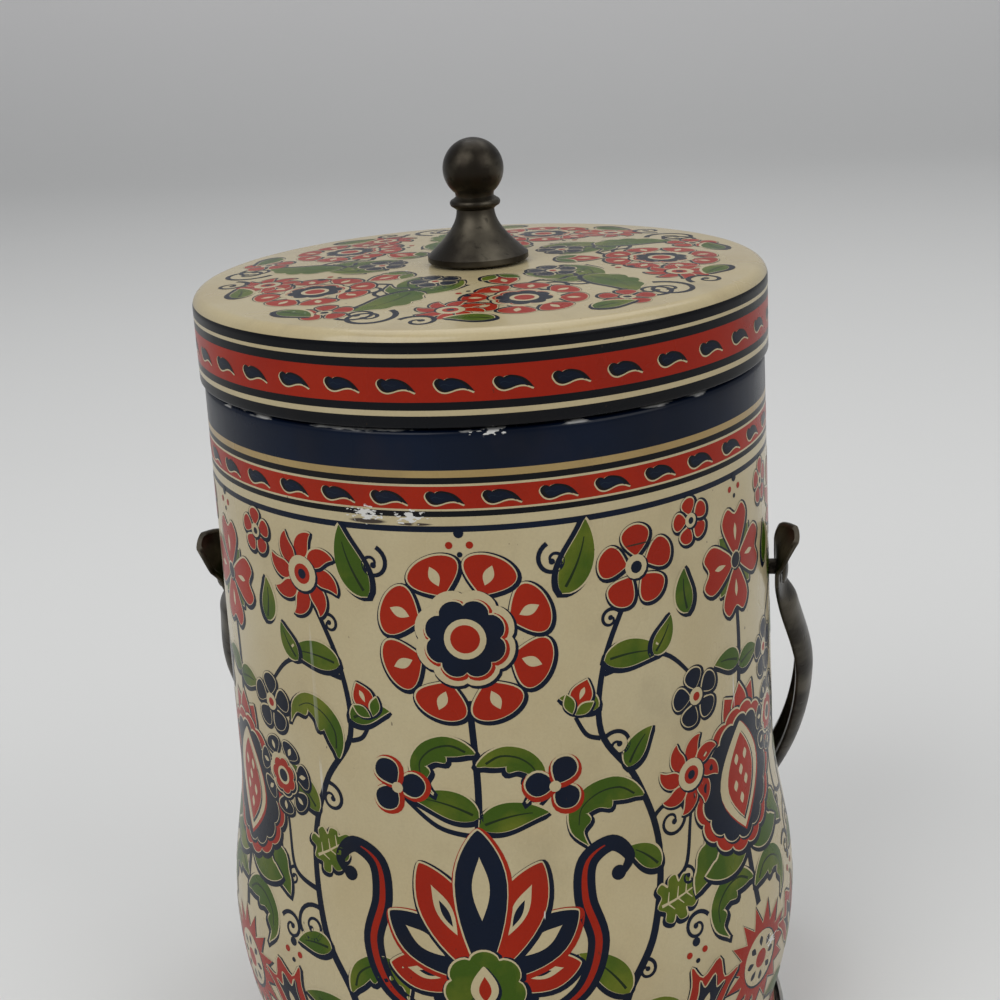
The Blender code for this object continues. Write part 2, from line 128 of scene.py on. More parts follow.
def noiseOf(tree, where, scale, detail=3.0, stretch=None, seed=0.0):
    mapping = addNode(tree, "ShaderNodeMapping")
    mapping.inputs["Location"].default_value = (seed, seed * 0.7, seed * 0.3)
    mapping.inputs["Scale"].default_value = stretch or (1, 1, 1)
    join(tree, where, mapping.inputs["Vector"])
    noise = addNode(tree, "ShaderNodeTexNoise")
    noise.inputs["Scale"].default_value = scale
    noise.inputs["Detail"].default_value = detail
    join(tree, mapping.outputs[0], noise.inputs["Vector"])
    return noise.outputs["Fac"]


def rangeOf(tree, value, low, high, toLow=0.0, toHigh=1.0):
    node = addNode(tree, "ShaderNodeMapRange")
    node.inputs["From Min"].default_value = low
    node.inputs["From Max"].default_value = high
    node.inputs["To Min"].default_value = toLow
    node.inputs["To Max"].default_value = toHigh
    join(tree, value, node.inputs["Value"])
    return node.outputs[0]


def mixColour(tree, factor, first, second):
    node = addNode(tree, "ShaderNodeMix", data_type="RGBA")
    join(tree, factor, node.inputs["Factor"])
    for socket, value in ((node.inputs[6], first), (node.inputs[7], second)):
        if isinstance(value, tuple):
            socket.default_value = (*value, 1)
        else:
            join(tree, value, socket)
    return node.outputs[2]


def newMaterial(name):
    made = bpy.data.materials.new(name)
    made.use_nodes = True
    return made, made.node_tree, made.node_tree.nodes["Principled BSDF"]


# where the print is worn through, and the painted highlight on the rim's edge: one group for every ink, so the marks
# run across them
def nearPlace(tree, where, place):
    x, y, z, along, up = place
    away = addNode(tree, "ShaderNodeVectorMath", operation="SUBTRACT")
    join(tree, where, away.inputs[0])
    away.inputs[1].default_value = (x, y, z)
    scaled = addNode(tree, "ShaderNodeVectorMath", operation="MULTIPLY")
    join(tree, away.outputs[0], scaled.inputs[0])
    scaled.inputs[1].default_value = (1 / along, 1 / along, 1 / up)
    far = addNode(tree, "ShaderNodeVectorMath", operation="LENGTH")
    join(tree, scaled.outputs[0], far.inputs[0])
    return rangeOf(tree, far.outputs["Value"], 1.0, 0.0)


def wearGroup():
    tree = bpy.data.node_groups.new("worn", "ShaderNodeTree")
    tree.interface.new_socket("Where", in_out="INPUT", socket_type="NodeSocketVector")
    tree.interface.new_socket("WornAndRimHighlight", in_out="OUTPUT", socket_type="NodeSocketFloat")
    tree.interface.new_socket("Dirt", in_out="OUTPUT", socket_type="NodeSocketFloat")
    entry = addNode(tree, "NodeGroupInput")
    leave = addNode(tree, "NodeGroupOutput")
    where = entry.outputs[0]
    ragged = noiseOf(tree, where, 1500.0, 4.0, (0.6, 0.6, 1.5), 3.1)
    specks = rangeOf(tree, noiseOf(tree, where, 1000.0, 2.0, None, 1.7), 0.785, 0.80)
    patches = rangeOf(tree, noiseOf(tree, where, 55.0, 2.0, None, 5.0), 0.62, 0.68)
    worn = mathNode(tree, "MULTIPLY", specks, patches)
    scratch = rangeOf(tree, noiseOf(tree, where, 800.0, 1.0, (1.0, 1.0, 0.035), 7.7), 0.755, 0.768)
    some = rangeOf(tree, noiseOf(tree, where, 40.0, 1.0, None, 9.0), 0.58, 0.64)
    scratch = mathNode(tree, "MULTIPLY", scratch, some)
    worn = mathNode(tree, "MAXIMUM", worn, scratch)
    for place in wear["scuffs"]:  # ragged patches that keep near their places
        near = nearPlace(tree, where, place)
        rubbed = mathNode(tree, "ADD", mathNode(tree, "MULTIPLY", near, 0.34), ragged)
        rubbed = rangeOf(tree, rubbed, 0.70, 0.72)
        rubbed = mathNode(tree, "MULTIPLY", rubbed, rangeOf(tree, near, 0.0, 0.15))
        worn = mathNode(tree, "MAXIMUM", worn, rubbed)
    # the rim's outer edge is rubbed bright in broken lines: partly wear to bare metal, partly a painted highlight
    # along the roll
    height = addNode(tree, "ShaderNodeSeparateXYZ")
    join(tree, where, height.inputs[0])
    low, high = wear["rimWearAndHighlight"]
    edge = mathNode(tree, "MULTIPLY", rangeOf(tree, height.outputs[2], low, low + 0.0002),
                    rangeOf(tree, height.outputs[2], high, high - 0.00017))
    broken = rangeOf(tree, noiseOf(tree, where, 130.0, 4.0, (1, 1, 6), 4.4), 0.53, 0.60)
    worn = mathNode(tree, "MAXIMUM", worn, mathNode(tree, "MULTIPLY", edge, broken))
    join(tree, worn, leave.inputs[0])
    dirt = rangeOf(tree, noiseOf(tree, where, 120.0, 5.0, (1, 1, 0.6), 2.2), 0.56, 0.82, 0.0, 0.17)
    flecks = rangeOf(tree, noiseOf(tree, where, 1100.0, 2.0, (1, 1, 0.7), 8.3), 0.745, 0.765, 0.0, 0.75)
    some = rangeOf(tree, noiseOf(tree, where, 70.0, 2.0, None, 3.3), 0.46, 0.56)
    flecks = mathNode(tree, "MULTIPLY", flecks, some)
    dirt = mathNode(tree, "MAXIMUM", dirt, flecks)
    for place in wear["scratches"]:
        line = mathNode(tree, "MULTIPLY", rangeOf(tree, nearPlace(tree, where, place), 0.05, 0.35),
                        rangeOf(tree, noiseOf(tree, where, 500.0, 3.0, (1, 1, 0.3), 6.1), 0.36, 0.50))
        dirt = mathNode(tree, "MAXIMUM", dirt, line)
    join(tree, dirt, leave.inputs[1])
    return tree


worn = wearGroup()


# printed tinplate: ink under varnish, faint waves in the sheet, marks worn to the metal, and a painted highlight along
# the rim's edge
varnish = {
    "rough": 0.24, "smeared": 0.14, "coatRough": 0.07, "bump": 0.0006,
    "paleInks": ("cream", "gold"),
    # specular level and coat weight, for a pale ink and for the others
    "pale": (0.24, 0.30), "deep": (0.09, 0.10),
}


def inkMaterial(key, colour, drift):
    gloss, coat = varnish["pale" if key in varnish["paleInks"] else "deep"]
    made, tree, shader = newMaterial("ink " + key)
    where = addNode(tree, "ShaderNodeTexCoord").outputs["Object"]
    marks = addNode(tree, "ShaderNodeGroup", node_tree=worn)
    join(tree, where, marks.inputs[0])
    scale, low, high = (110.0, 0.44, 0.68) if key == "green" else (60.0, 0.35, 0.75)  # leaves drift in patches
    tone = rangeOf(tree, noiseOf(tree, where, scale, 4.0, None, 4.0), low, high)
    shade = mixColour(tree, tone, colour, drift)
    # the dots of the printing screen show as a fine grain
    grain = rangeOf(tree, noiseOf(tree, where, 2600.0, 2.0, None, 11.0), 0.35, 0.70, 0.0, 0.10)
    shade = mixColour(tree, grain, shade, tuple(c * 0.45 for c in colour))
    shade = mixColour(tree, marks.outputs[1], shade, wear["dirt"])
    shade = mixColour(tree, marks.outputs[0], shade, wear["metal"])
    join(tree, shade, shader.inputs["Base Color"])
    join(tree, mathNode(tree, "MULTIPLY", marks.outputs[0], 0.45), shader.inputs["Metallic"])
    rough = varnish["rough"]
    smear = noiseOf(tree, where, 70.0, 4.0, (1, 1, 0.6), 6.0)
    smear = rangeOf(tree, smear, 0.35, 0.75, rough, rough + varnish["smeared"])
    smear = mathNode(tree, "ADD", smear, mathNode(tree, "MULTIPLY", marks.outputs[0], 0.15))
    join(tree, smear, shader.inputs["Roughness"])
    shader.inputs["Specular IOR Level"].default_value = gloss
    shader.inputs["Coat Weight"].default_value = coat
    shader.inputs["Coat Roughness"].default_value = varnish["coatRough"]
    waves = noiseOf(tree, where, 24.0, 1.0, None, 8.0)
    peel = noiseOf(tree, where, 1300.0, 2.0, None, 1.0)
    height = mathNode(tree, "MULTIPLY", waves, 0.8)
    height = mathNode(tree, "ADD", height, mathNode(tree, "MULTIPLY", peel, 0.004))
    height = mathNode(tree, "SUBTRACT", height, mathNode(tree, "MULTIPLY", marks.outputs[0], 0.04))
    bump = addNode(tree, "ShaderNodeBump")
    bump.inputs["Strength"].default_value = 0.25
    bump.inputs["Distance"].default_value = varnish["bump"]
    join(tree, height, bump.inputs["Height"])
    join(tree, bump.outputs[0], shader.inputs["Normal"])
    return made


# bare and plated metal
def metalMaterial(name, colour, bright, roughness, metallic, grain=(1, 1, 1)):
    made, tree, shader = newMaterial(name)
    where = addNode(tree, "ShaderNodeTexCoord").outputs["Object"]
    tone = rangeOf(tree, noiseOf(tree, where, 160.0, 6.0, grain, 2.0), 0.42, 0.72)
    shade = mixColour(tree, tone, colour, bright)
    pits = rangeOf(tree, noiseOf(tree, where, 900.0, 3.0, None, 5.0), 0.62, 0.72)
    shade = mixColour(tree, mathNode(tree, "MULTIPLY", pits, 0.5), shade, tuple(c * 0.35 for c in colour))
    join(tree, shade, shader.inputs["Base Color"])
    smear = rangeOf(tree, noiseOf(tree, where, 90.0, 5.0, grain, 9.0), 0.3, 0.7, roughness, roughness + 0.2)
    join(tree, smear, shader.inputs["Roughness"])
    shader.inputs["Metallic"].default_value = metallic
    bump = addNode(tree, "ShaderNodeBump")
    bump.inputs["Strength"].default_value = 0.25
    bump.inputs["Distance"].default_value = 0.0002
    height = noiseOf(tree, where, 420.0, 4.0, grain, 3.0)
    height = mathNode(tree, "ADD", height, mathNode(tree, "MULTIPLY", pits, -0.4))
    join(tree, height, bump.inputs["Height"])
    join(tree, bump.outputs[0], shader.inputs["Normal"])
    return made


inks = {key: inkMaterial(key, *colours) for key, colours in paint.items()}
insideTin = metalMaterial("inside tinplate", (0.42, 0.38, 0.28), (0.58, 0.54, 0.44), 0.28, 0.9, (1, 1, 0.1))
bareTin = metalMaterial("bare tinplate", (0.40, 0.39, 0.36), (0.62, 0.60, 0.56), 0.30, 0.95, (1, 1, 0.2))
darkMetal = metalMaterial("dark strap metal", (0.019, 0.015, 0.010), (0.092, 0.080, 0.058), 0.28, 0.85)
plated = metalMaterial("plated steel", (0.35, 0.34, 0.32), (0.55, 0.53, 0.50), 0.30, 0.95)
collarBlack = metalMaterial("black collar", (0.008, 0.008, 0.010), (0.020, 0.020, 0.024), 0.30, 0.0)
print("materials made")


# round pieces: a ring is added and extruded from one ring to the next
def deselect():
    if bpy.context.mode != "OBJECT":
        bpy.ops.object.mode_set(mode="OBJECT")
    bpy.ops.object.select_all(action="DESELECT")


def spunPiece(name, rings, looks, around=tin["around"], closed=True, angle=40):
    # rings: radius, height, and the look of the band from this ring to the next
    deselect()
    radius, height, _ = rings[0]
    bpy.ops.mesh.primitive_circle_add(vertices=around, radius=radius, location=(0, 0, height))
    piece = bpy.context.object
    piece.name = name
    bpy.ops.object.transform_apply(location=True, rotation=False, scale=False)
    bpy.ops.object.mode_set(mode="EDIT")
    bpy.ops.mesh.select_all(action="SELECT")
    path = list(rings[1:]) + ([rings[0]] if closed else [])
    for nextRadius, nextHeight, _ in path:
        bpy.ops.mesh.extrude_edges_move(TRANSFORM_OT_translate={"value": (0, 0, nextHeight - height)})
        factor = nextRadius / radius
        bpy.ops.transform.resize(value=(factor, factor, 1), center_override=(0, 0, nextHeight))
        radius, height = nextRadius, nextHeight
    bpy.ops.object.mode_set(mode="OBJECT")
    names = []
    for _, _, look in rings:
        if look not in names:
            names.append(look)
    for look in names:
        piece.data.materials.append(looks[look])
    for face in piece.data.polygons:  # faces come ring by ring
        face.material_index = names.index(rings[face.index // around][2])
    bpy.ops.object.mode_set(mode="EDIT")
    bpy.ops.mesh.select_all(action="SELECT")
    bpy.ops.mesh.remove_doubles(threshold=0.000002)
    bpy.ops.mesh.normals_make_consistent(inside=False)
    bpy.ops.object.mode_set(mode="OBJECT")
    bpy.ops.object.shade_smooth_by_angle(angle=math.radians(angle))
    return piece


def arcRings(centreRadius, centreHeight, radius, start, end, steps, look):
    rings = []
    for i in range(steps + 1):
        a = math.radians(start + (end - start) * i / steps)
        rings.append((centreRadius + radius * math.cos(a), centreHeight + radius * math.sin(a), look))
    return rings


# the wall: stripes are bands of its rings, in mm under the rim
wallStripes = {
    "look": [(5.84, "navy"), (6.88, "gold"), (7.80, "black"), (8.15, "cream"),
             (11.45, "red"), (11.75, "cream"), (12.60, "black"), (13.95, "cream"), (14.85, "navy"),
             (111.2, "cream"), (112.1, "navy"), (112.9, "cream"), (118.6, "red"), (119.4, "cream"),
             (123.1, "navy")],
    "rings": 200, "ringStep": 0.0011, "ringGap": 0.0004,   # rings between the stripes, for the curve
}


def stripeAt(depth):
    return next((colour for stop, colour in wallStripes["look"] if depth < stop), "navy")


def wallPiece():
    t = tin
    drawn = t["inkRoom"]
    rollFoot = t["height"] - t["roll"]
    stops = [t["height"] - s[0] * mm for s in wallStripes["look"]]
    heights = {round(h, 6) for h in stops if h > t["edge"]} | {round(rollFoot, 6), round(t["edge"], 6)}
    for k in range(wallStripes["rings"]):
        level = rollFoot - k * wallStripes["ringStep"]
        if level > t["edge"] and min(abs(level - h) for h in heights) > wallStripes["ringGap"]:
            heights.add(round(level, 6))
    # the band below a ring has the colour at a point just under it
    bands = [(wallRadius(h) - drawn, h, stripeAt((t["height"] - h) / mm + 0.05))
             for h in sorted(heights, reverse=True)]
    rings = [(r - t["sheet"] + drawn, h, "inside") for r, h, _ in reversed(bands[1:])]
    rings.append((t["rim"] - t["sheet"], t["height"] - 2.2 * t["roll"], "inside"))
    rings += arcRings(t["rim"] - t["roll"], rollFoot, t["roll"] - drawn, 270, 0, 20, "navy")[:-1] + bands
    rings[-1] = (rings[-1][0], rings[-1][1], "inside")
    piece = spunPiece("tinWall", rings, dict(inks, inside=insideTin))
    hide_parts("body_wall")
    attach(piece, "body")


wallPiece()
print("wall made")

# base seam and panel
base = {
    "panel": 0.0026, "sheet": 0.0006, "ring": 0.034, "rise": 0.0008, "middle": 0.0004,
    "seamTop": 0.0034, "seamFoot": 0.0006, "seamWide": 0.0009, "gap": 0.0003, "round": 0.0004,
}


def basePiece():
    b = base
    top, foot, gap, under = b["seamTop"], b["seamFoot"], b["gap"], b["panel"] - b["sheet"]
    edge = wallRadius(tin["edge"])
    outer = edge + b["seamWide"]
    chuck = min(edge, wallRadius(top)) - b["seamWide"]
    inner = chuck - b["sheet"]
    steps = ((-0.0030, 0), (-0.0015, 1), (0.0015, 1), (0.0030, 0))
    bead = [(b["ring"] + side, b["rise"] * lift) for side, lift in steps]
    rings = [(b["middle"], b["panel"], "tin")] + [(r, b["panel"] + rise, "tin") for r, rise in bead]
    rings += [(inner, b["panel"], "tin"), (inner, top, "tin"), (chuck, top, "tin"), (chuck, foot, "tin"),
              (edge + gap, foot, "tin"), (edge + gap, top, "tin")]
    rings += arcRings(outer - gap, top - gap, gap, 90, 0, 4, "tin")
    rings += arcRings(outer - b["round"], b["round"], b["round"], 0, -90, 5, "tin")
    rings += [(inner - gap, 0.0, "tin"), (inner - b["sheet"], foot, "tin"), (inner - b["sheet"], under, "tin")]
    rings += [(r, under + rise, "tin") for r, rise in reversed(bead)] + [(b["middle"], under, "tin")]
    piece = spunPiece("tinBase", rings, {"tin": bareTin}, around=180)
    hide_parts("base_panel")
    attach(piece, "body")


basePiece()

# lid: dome, shoulder, skirt, hem
lid = {
    "radius": 0.0456, "skirt": 0.0115, "sheet": 0.0006, "shoulder": 0.0022, "dome": 0.0012,
    "hem": 0.0018, "hemRound": 0.0004, "hole": 0.0020, "gap": 0.0003, "domeRings": 18,
    "blackUp": 0.80,   # mm of black over the shoulder's foot
    # mm under the shoulder's foot at which each stripe ends
    "stripes": [(0.90, "black"), (1.45, "cream"), (2.75, "black"), (7.70, "red"), (8.85, "black"),
                (9.65, "cream"), (11.6, "black")],
}
lidFoot = tin["height"] + lid["gap"]
lidSkirtTop = lidFoot + lid["skirt"]
lidTop = lidSkirtTop + lid["shoulder"] + lid["dome"]
lidEdge = lid["radius"] - lid["shoulder"]


def domeHeight(radius):
    return lidTop - lid["dome"] * (radius / lidEdge) ** 2


def lidPiece():
    drawn = tin["inkRoom"]
    radius, sheet, hole, hem = (lid[k] for k in ("radius", "sheet", "hole", "hem"))
    rings = []
    for k in range(lid["domeRings"]):
        r = hole + (lidEdge - hole) * k / (lid["domeRings"] - 1)
        rings.append((r, domeHeight(r) - drawn, "cream"))
    shoulder = arcRings(lidEdge, lidSkirtTop, lid["shoulder"] - drawn, 90, 0, 14, "cream")[1:-1]
    rings += [(r, h, "black" if h < lidSkirtTop + lid["blackUp"] * mm else look) for r, h, look in shoulder]
    stops = [0.0] + [s[0] for s in lid["stripes"]]
    for start, end, (_, look) in zip(stops, stops[1:], lid["stripes"]):
        parts = max(1, round((end - start) / 1.2))
        for p in range(parts):
            height = lidSkirtTop - (start + (end - start) * p / parts) * mm
            if height > lidFoot + lid["hemRound"]:
                rings.append((radius - drawn, height, look))
    bend = lid["hemRound"]
    rings += arcRings(radius - bend, lidFoot + bend, bend - drawn, 0, -90, 5, "black")
    rings += [(radius - hem, lidFoot + drawn, "inside"), (radius - hem, lidFoot + sheet, "inside"),
              (radius - sheet, lidFoot + sheet, "inside")]
    rings += arcRings(lidEdge, lidSkirtTop, lid["shoulder"] - sheet, 0, 90, 10, "inside")
    rings += [(r, domeHeight(r) - sheet, "inside") for r in (0.034, 0.022, 0.011, hole)]
    piece = spunPiece("tinLid", rings, dict(inks, inside=insideTin))
    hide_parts("lid_shell")
    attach(piece, "lid")


lidPiece()


# plug ring under the lid, coloured black all over
collar = {"gap": 0.0003, "sheet": 0.0006, "up": 0.0009, "deep": 0.0050}


def collarPiece():
    c = collar
    outer = tin["rim"] - 2 * tin["roll"] - c["gap"]
    inner = outer - c["sheet"]
    flange = lid["radius"] - lid["sheet"] - c["gap"]
    flangeFoot = lidFoot + c["up"]
    flangeTop = flangeFoot + c["sheet"]
    foot = tin["height"] - c["deep"]
    rings = [(flange, flangeTop, "l"), (flange, flangeFoot, "l"), (outer, flangeFoot, "l"),
             (outer, foot + c["sheet"], "l"), (inner, foot, "l"), (inner - c["sheet"], foot, "l"),
             (inner, foot + c["sheet"], "l"), (inner, flangeTop, "l")]
    piece = spunPiece("lidCollar", rings, {"l": collarBlack})
    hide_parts("lid_collar")
    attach(piece, "lid")


collarPiece()

# knob
knob = {
    "height": 0.0192, "base": 0.0080, "neck": 0.0030, "ball": 0.0048, "bead": 0.0040, "edge": 0.0010,
    "beadRound": 0.0006, "seat": 0.0003, "bevel": 0.0002, "hole": 0.0020, "coneRings": 18,
}


def knobPiece():
    n = knob
    foot = domeHeight(0.0) + n["seat"]
    ball = foot + n["height"] - n["ball"]
    bead = ball - n["ball"] - n["edge"] / 2
    coneTop = bead - n["edge"]
    rings = arcRings(0.0, ball, n["ball"], 89, -50, 28, "k")
    rings += [(n["neck"], bead + n["edge"], "k")]
    rings += arcRings(n["bead"] - n["beadRound"], bead, n["beadRound"], 75, -75, 8, "k")
    rings += [(n["neck"], coneTop, "k")]
    for i in range(1, n["coneRings"] + 1):
        share = i / n["coneRings"]
        r = n["neck"] + (n["base"] - n["neck"]) * (1 - math.cos(math.pi / 2 * share))
        rings.append((r, coneTop + (foot + n["edge"] - coneTop) * share, "k"))
    rings += [(n["base"], foot + n["bevel"], "k"), (n["base"] - n["bevel"], foot, "k"), (n["hole"], foot, "k")]
    piece = spunPiece("lidKnob", rings, {"k": darkMetal}, around=72, closed=False)
    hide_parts("lid_knob")
    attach(piece, "lid")


knobPiece()
for name, look in (("knob_screw", plated), ("knob_washer", plated), ("right_rivet_burr", darkMetal),
                   ("left_rivet_burr", darkMetal)):
    nodes[name].material_slots[0].material = look
print("lid made")

# handle: a round-backed sheet swept from one leaf over to the other
handle = {
    "pivot": 0.087, "reach": 0.097, "half": 0.04995, "leg": 0.0275,
    "rest": math.acos(0.0507 / 0.097),   # how far it hangs back, from where it rests on the belly
    "standoff": 0.0008, "width": 0.0033, "crown": 0.00312, "sheet": 0.0008,
    "leafLength": 0.0080, "leafWidth": 0.0054, "leafCrown": 0.0011, "leafRoot": 0.0060,
    "curl": 0.0022, "fade": 0.0060, "head": 0.0028, "tipFrom": 0.0052, "tipNarrow": 0.62, "tipRoll": 0.0007,
    "lip": 0.0002, "leafSteps": 16, "headSteps": 8, "legSteps": 40, "bowSteps": 60, "acrossSteps": 22,
}


def handleStations():
    h = handle
    start = wallRadius(h["pivot"]) + h["standoff"]
    stations = []
    for i in range(h["leafSteps"]):
        v = -h["leafLength"] + (h["leafLength"] - h["head"]) * i / h["leafSteps"]
        share = (-v - h["head"]) / (h["leafLength"] - h["head"])
        stations.append((start + h["curl"] * share ** 1.5, v, 0.0))
    for i in range(h["headSteps"]):
        stations.append((start, -h["head"] * (1 - i / h["headSteps"]), 0.0))
    for i in range(h["legSteps"]):
        stations.append((eased(start, h["half"], i / h["legSteps"]), h["leg"] * i / h["legSteps"], 0.0))
    for i in range(h["bowSteps"] + 1):
        a = math.radians(90 * i / h["bowSteps"])
        stations.append((h["half"] * math.cos(a), h["leg"] + (h["reach"] - h["leg"]) * math.sin(a), a))
    return stations


def handlePiece():
    h = handle
    sheet = h["sheet"]
    half = []
    for u, v, turn in handleStations():
        share = min(1.0, max(0.0, (h["leafRoot"] - v) / (h["leafRoot"] + h["leafLength"])))
        width = h["width"] + (h["leafWidth"] - h["width"]) * share ** 1.3
        tip = max(0.0, (-v - h["tipFrom"]) / (h["leafLength"] - h["tipFrom"]))
        width *= 1 - h["tipNarrow"] * tip ** 1.4
        u += h["tipRoll"] * tip ** 2
        share = min(1.0, max(0.0, (h["head"] + h["fade"] - v) / h["fade"]))
        rise = eased(h["crown"], h["leafCrown"], share) - sheet
        angles = [math.radians(-90 + 180 * i / (h["acrossSteps"] - 1)) for i in range(h["acrossSteps"])]
        edge = [(-width, sheet * 0.45), (-width + h["lip"], sheet * 0.1)]
        section = [(width * math.sin(a), sheet * 0.75 + (rise + sheet * 0.25) * math.cos(a)) for a in angles]
        section += [(-x, out) for x, out in edge]
        section += [((width - sheet) * math.sin(a), rise * math.cos(a)) for a in reversed(angles)]
        section += list(reversed(edge))
        half.append([(u + out * math.cos(turn), v + out * math.sin(turn), x) for x, out in section])
    rings = half + [[(-x, v, across) for x, v, across in ring] for ring in reversed(half[:-1])]
    along = (math.cos(h["rest"]), -math.sin(h["rest"]))
    over = (math.sin(h["rest"]), math.cos(h["rest"]))
    points, faces = [], []
    for ring in rings:
        for x, v, across in ring:
            points.append((x, v * along[0] + across * over[0], h["pivot"] + v * along[1] + across * over[1]))
    count = len(rings[0])
    for i in range(len(rings) - 1):
        for j in range(count):
            k = (j + 1) % count
            faces.append((i * count + j, i * count + k, (i + 1) * count + k, (i + 1) * count + j))
    faces.append(tuple(reversed(range(count))))
    faces.append(tuple(range((len(rings) - 1) * count, len(rings) * count)))
    mesh = bpy.data.meshes.new("handleStrap")
    mesh.from_pydata(points, [], faces)
    piece = bpy.data.objects.new("handleStrap", mesh)
    bpy.context.scene.collection.objects.link(piece)
    piece.data.materials.append(darkMetal)
    deselect()
    piece.select_set(True)
    bpy.context.view_layer.objects.active = piece
    bpy.ops.object.mode_set(mode="EDIT")
    bpy.ops.mesh.select_all(action="SELECT")
    bpy.ops.mesh.normals_make_consistent(inside=False)
    bpy.ops.object.mode_set(mode="OBJECT")
    bpy.ops.object.shade_smooth_by_angle(angle=math.radians(40))
    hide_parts("handle_strap")
    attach(piece, "handle")


handlePiece()


# rivets, turned upright and then laid along X
rivet = {
    "head": 0.0028, "rise": 0.0009, "seat": 0.0003, "bevel": 0.0001, "shank": 0.0013,
    # the closed end inside the wall: radius and distance in from the wall
    "tail": [(0.0013, 0.0020), (0.0024, 0.0020), (0.0020, 0.0028), (0.0003, 0.0029)],
}


def rivetPiece(name, side, node):
    start = wallRadius(handle["pivot"])
    foot = start + handle["standoff"] + handle["leafCrown"] + rivet["seat"]
    under = foot - rivet["bevel"]
    rings = [(rivet["head"] * r, foot + rivet["rise"] * h, "k") for r, h, _ in arcRings(0.0, 0.0, 1.0, 88, 0, 9, "k")]
    rings += [(rivet["head"], under, "k"), (rivet["shank"], under, "k")]
    rings += [(r, start - inward, "k") for r, inward in rivet["tail"]]
    piece = spunPiece(name, rings, {"k": darkMetal}, around=40, closed=False)
    piece.data.transform(Matrix.Rotation(math.radians(90 * side), 4, "Y"))
    piece.data.transform(Matrix.Translation((0, 0, handle["pivot"])))
    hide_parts(node)
    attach(piece, "body")


rivetPiece("rightRivet", 1, "right_rivet")
rivetPiece("leftRivet", -1, "left_rivet")
print("handle made")


# print shapes, flat and in mm
def placed(points, degrees=0.0, dx=0.0, dy=0.0, size=1.0, flip=1):
    a = math.radians(degrees)
    c, s = math.cos(a) * size, math.sin(a) * size
    return [(x * flip * c - y * s + dx, x * flip * s + y * c + dy) for x, y in points]


def petal(length, width, full=0.6, point=1.0, steps=16):
    # grows up from 0,0; full is where it is widest, point sharpens the tip
    right = []
    for i in range(steps + 1):
        t = math.sin(math.pi / 2 * i / steps)
        if t < full:
            w = math.sin(math.pi / 2 * t / full)
        else:
            w = max(0.0, math.cos(math.pi / 2 * (t - full) / (1 - full))) ** point
        right.append((width / 2 * w, length * t))
    return right + [(-x, y) for x, y in reversed(right[1:-1])]


def scalloped(radius, lobes, depth, steps=9):
    points = []
    for i in range(lobes * steps):
        a = 2 * math.pi * i / (lobes * steps)
        r = radius * (1 - depth + depth * abs(math.sin(lobes * a / 2)) ** 0.7)
        points.append((r * math.cos(a), r * math.sin(a)))
    return points


def disc(radius, steps=26):
    angles = [2 * math.pi * i / steps for i in range(steps)]
    return [(radius * math.cos(a), radius * math.sin(a)) for a in angles]


def starOutline(outer, inner, tips):
    points = []
    for i in range(tips * 2):
        r = outer if i % 2 == 0 else inner
        points.append((r * math.cos(math.pi * i / tips), r * math.sin(math.pi * i / tips)))
    return points


def spine(length, bend, steps=22):
    # a middle line from 0,0 upwards that bends to the right
    x = y = 0.0
    points = []
    for i in range(steps + 1):
        t = i / steps
        a = math.radians(90 - bend * t ** 1.4)
        points.append((x, y, a))
        x += math.cos(a) * length / steps
        y += math.sin(a) * length / steps
    return points


def leafOutline(length, width, bend, lobes=0):
    right, left = [], []
    line = spine(length, bend)
    for i, (x, y, a) in enumerate(line):
        t = i / (len(line) - 1)
        w = width / 2 * math.sin(math.pi * t ** 0.72) ** 0.9
        outer = w * (0.74 + 0.36 * abs(math.sin(lobes * math.pi * t)) ** 0.6) if lobes else w
        right.append((x + math.sin(a) * w * 0.9, y - math.cos(a) * w * 0.9))
        left.append((x - math.sin(a) * outer, y + math.cos(a) * outer))
    return right + left[-2:0:-1]


def smoothPath(knots, steps=8, closed=False):
    count = len(knots)
    points = []
    for i in range(count if closed else count - 1):
        if closed:
            p0, p1, p2, p3 = (knots[(i + k) % count] for k in (-1, 0, 1, 2))
        else:
            p0, p1, p2, p3 = (knots[min(max(i + k, 0), count - 1)] for k in (-1, 0, 1, 2))
        for k in range(steps):
            t = k / steps
            points.append(tuple(0.5 * (2 * b + (c - a) * t + (2 * a - 5 * b + 4 * c - d) * t * t
                                       + (3 * b - a - 3 * c + d) * t ** 3) for a, b, c, d in zip(p0, p1, p2, p3)))
    return points if closed else points + [knots[-1]]


def curlPath(turns, radius, steps=34):
    # starts at 0,0 going up and curls in to the right
    points = []
    for i in range(steps + 1):
        t = i / steps
        a = math.pi - 2 * math.pi * turns * t
        r = radius * (1 - 0.86 * t ** 0.85)
        points.append((radius + r * math.cos(a), r * math.sin(a)))
    return points


def holds(outline, x, y):
    inside = False
    ax, ay = outline[-1]
    for bx, by in outline:
        if (ay > y) != (by > y) and x < ax + (bx - ax) * (y - ay) / (by - ay):
            inside = not inside
        ax, ay = bx, by
    return inside


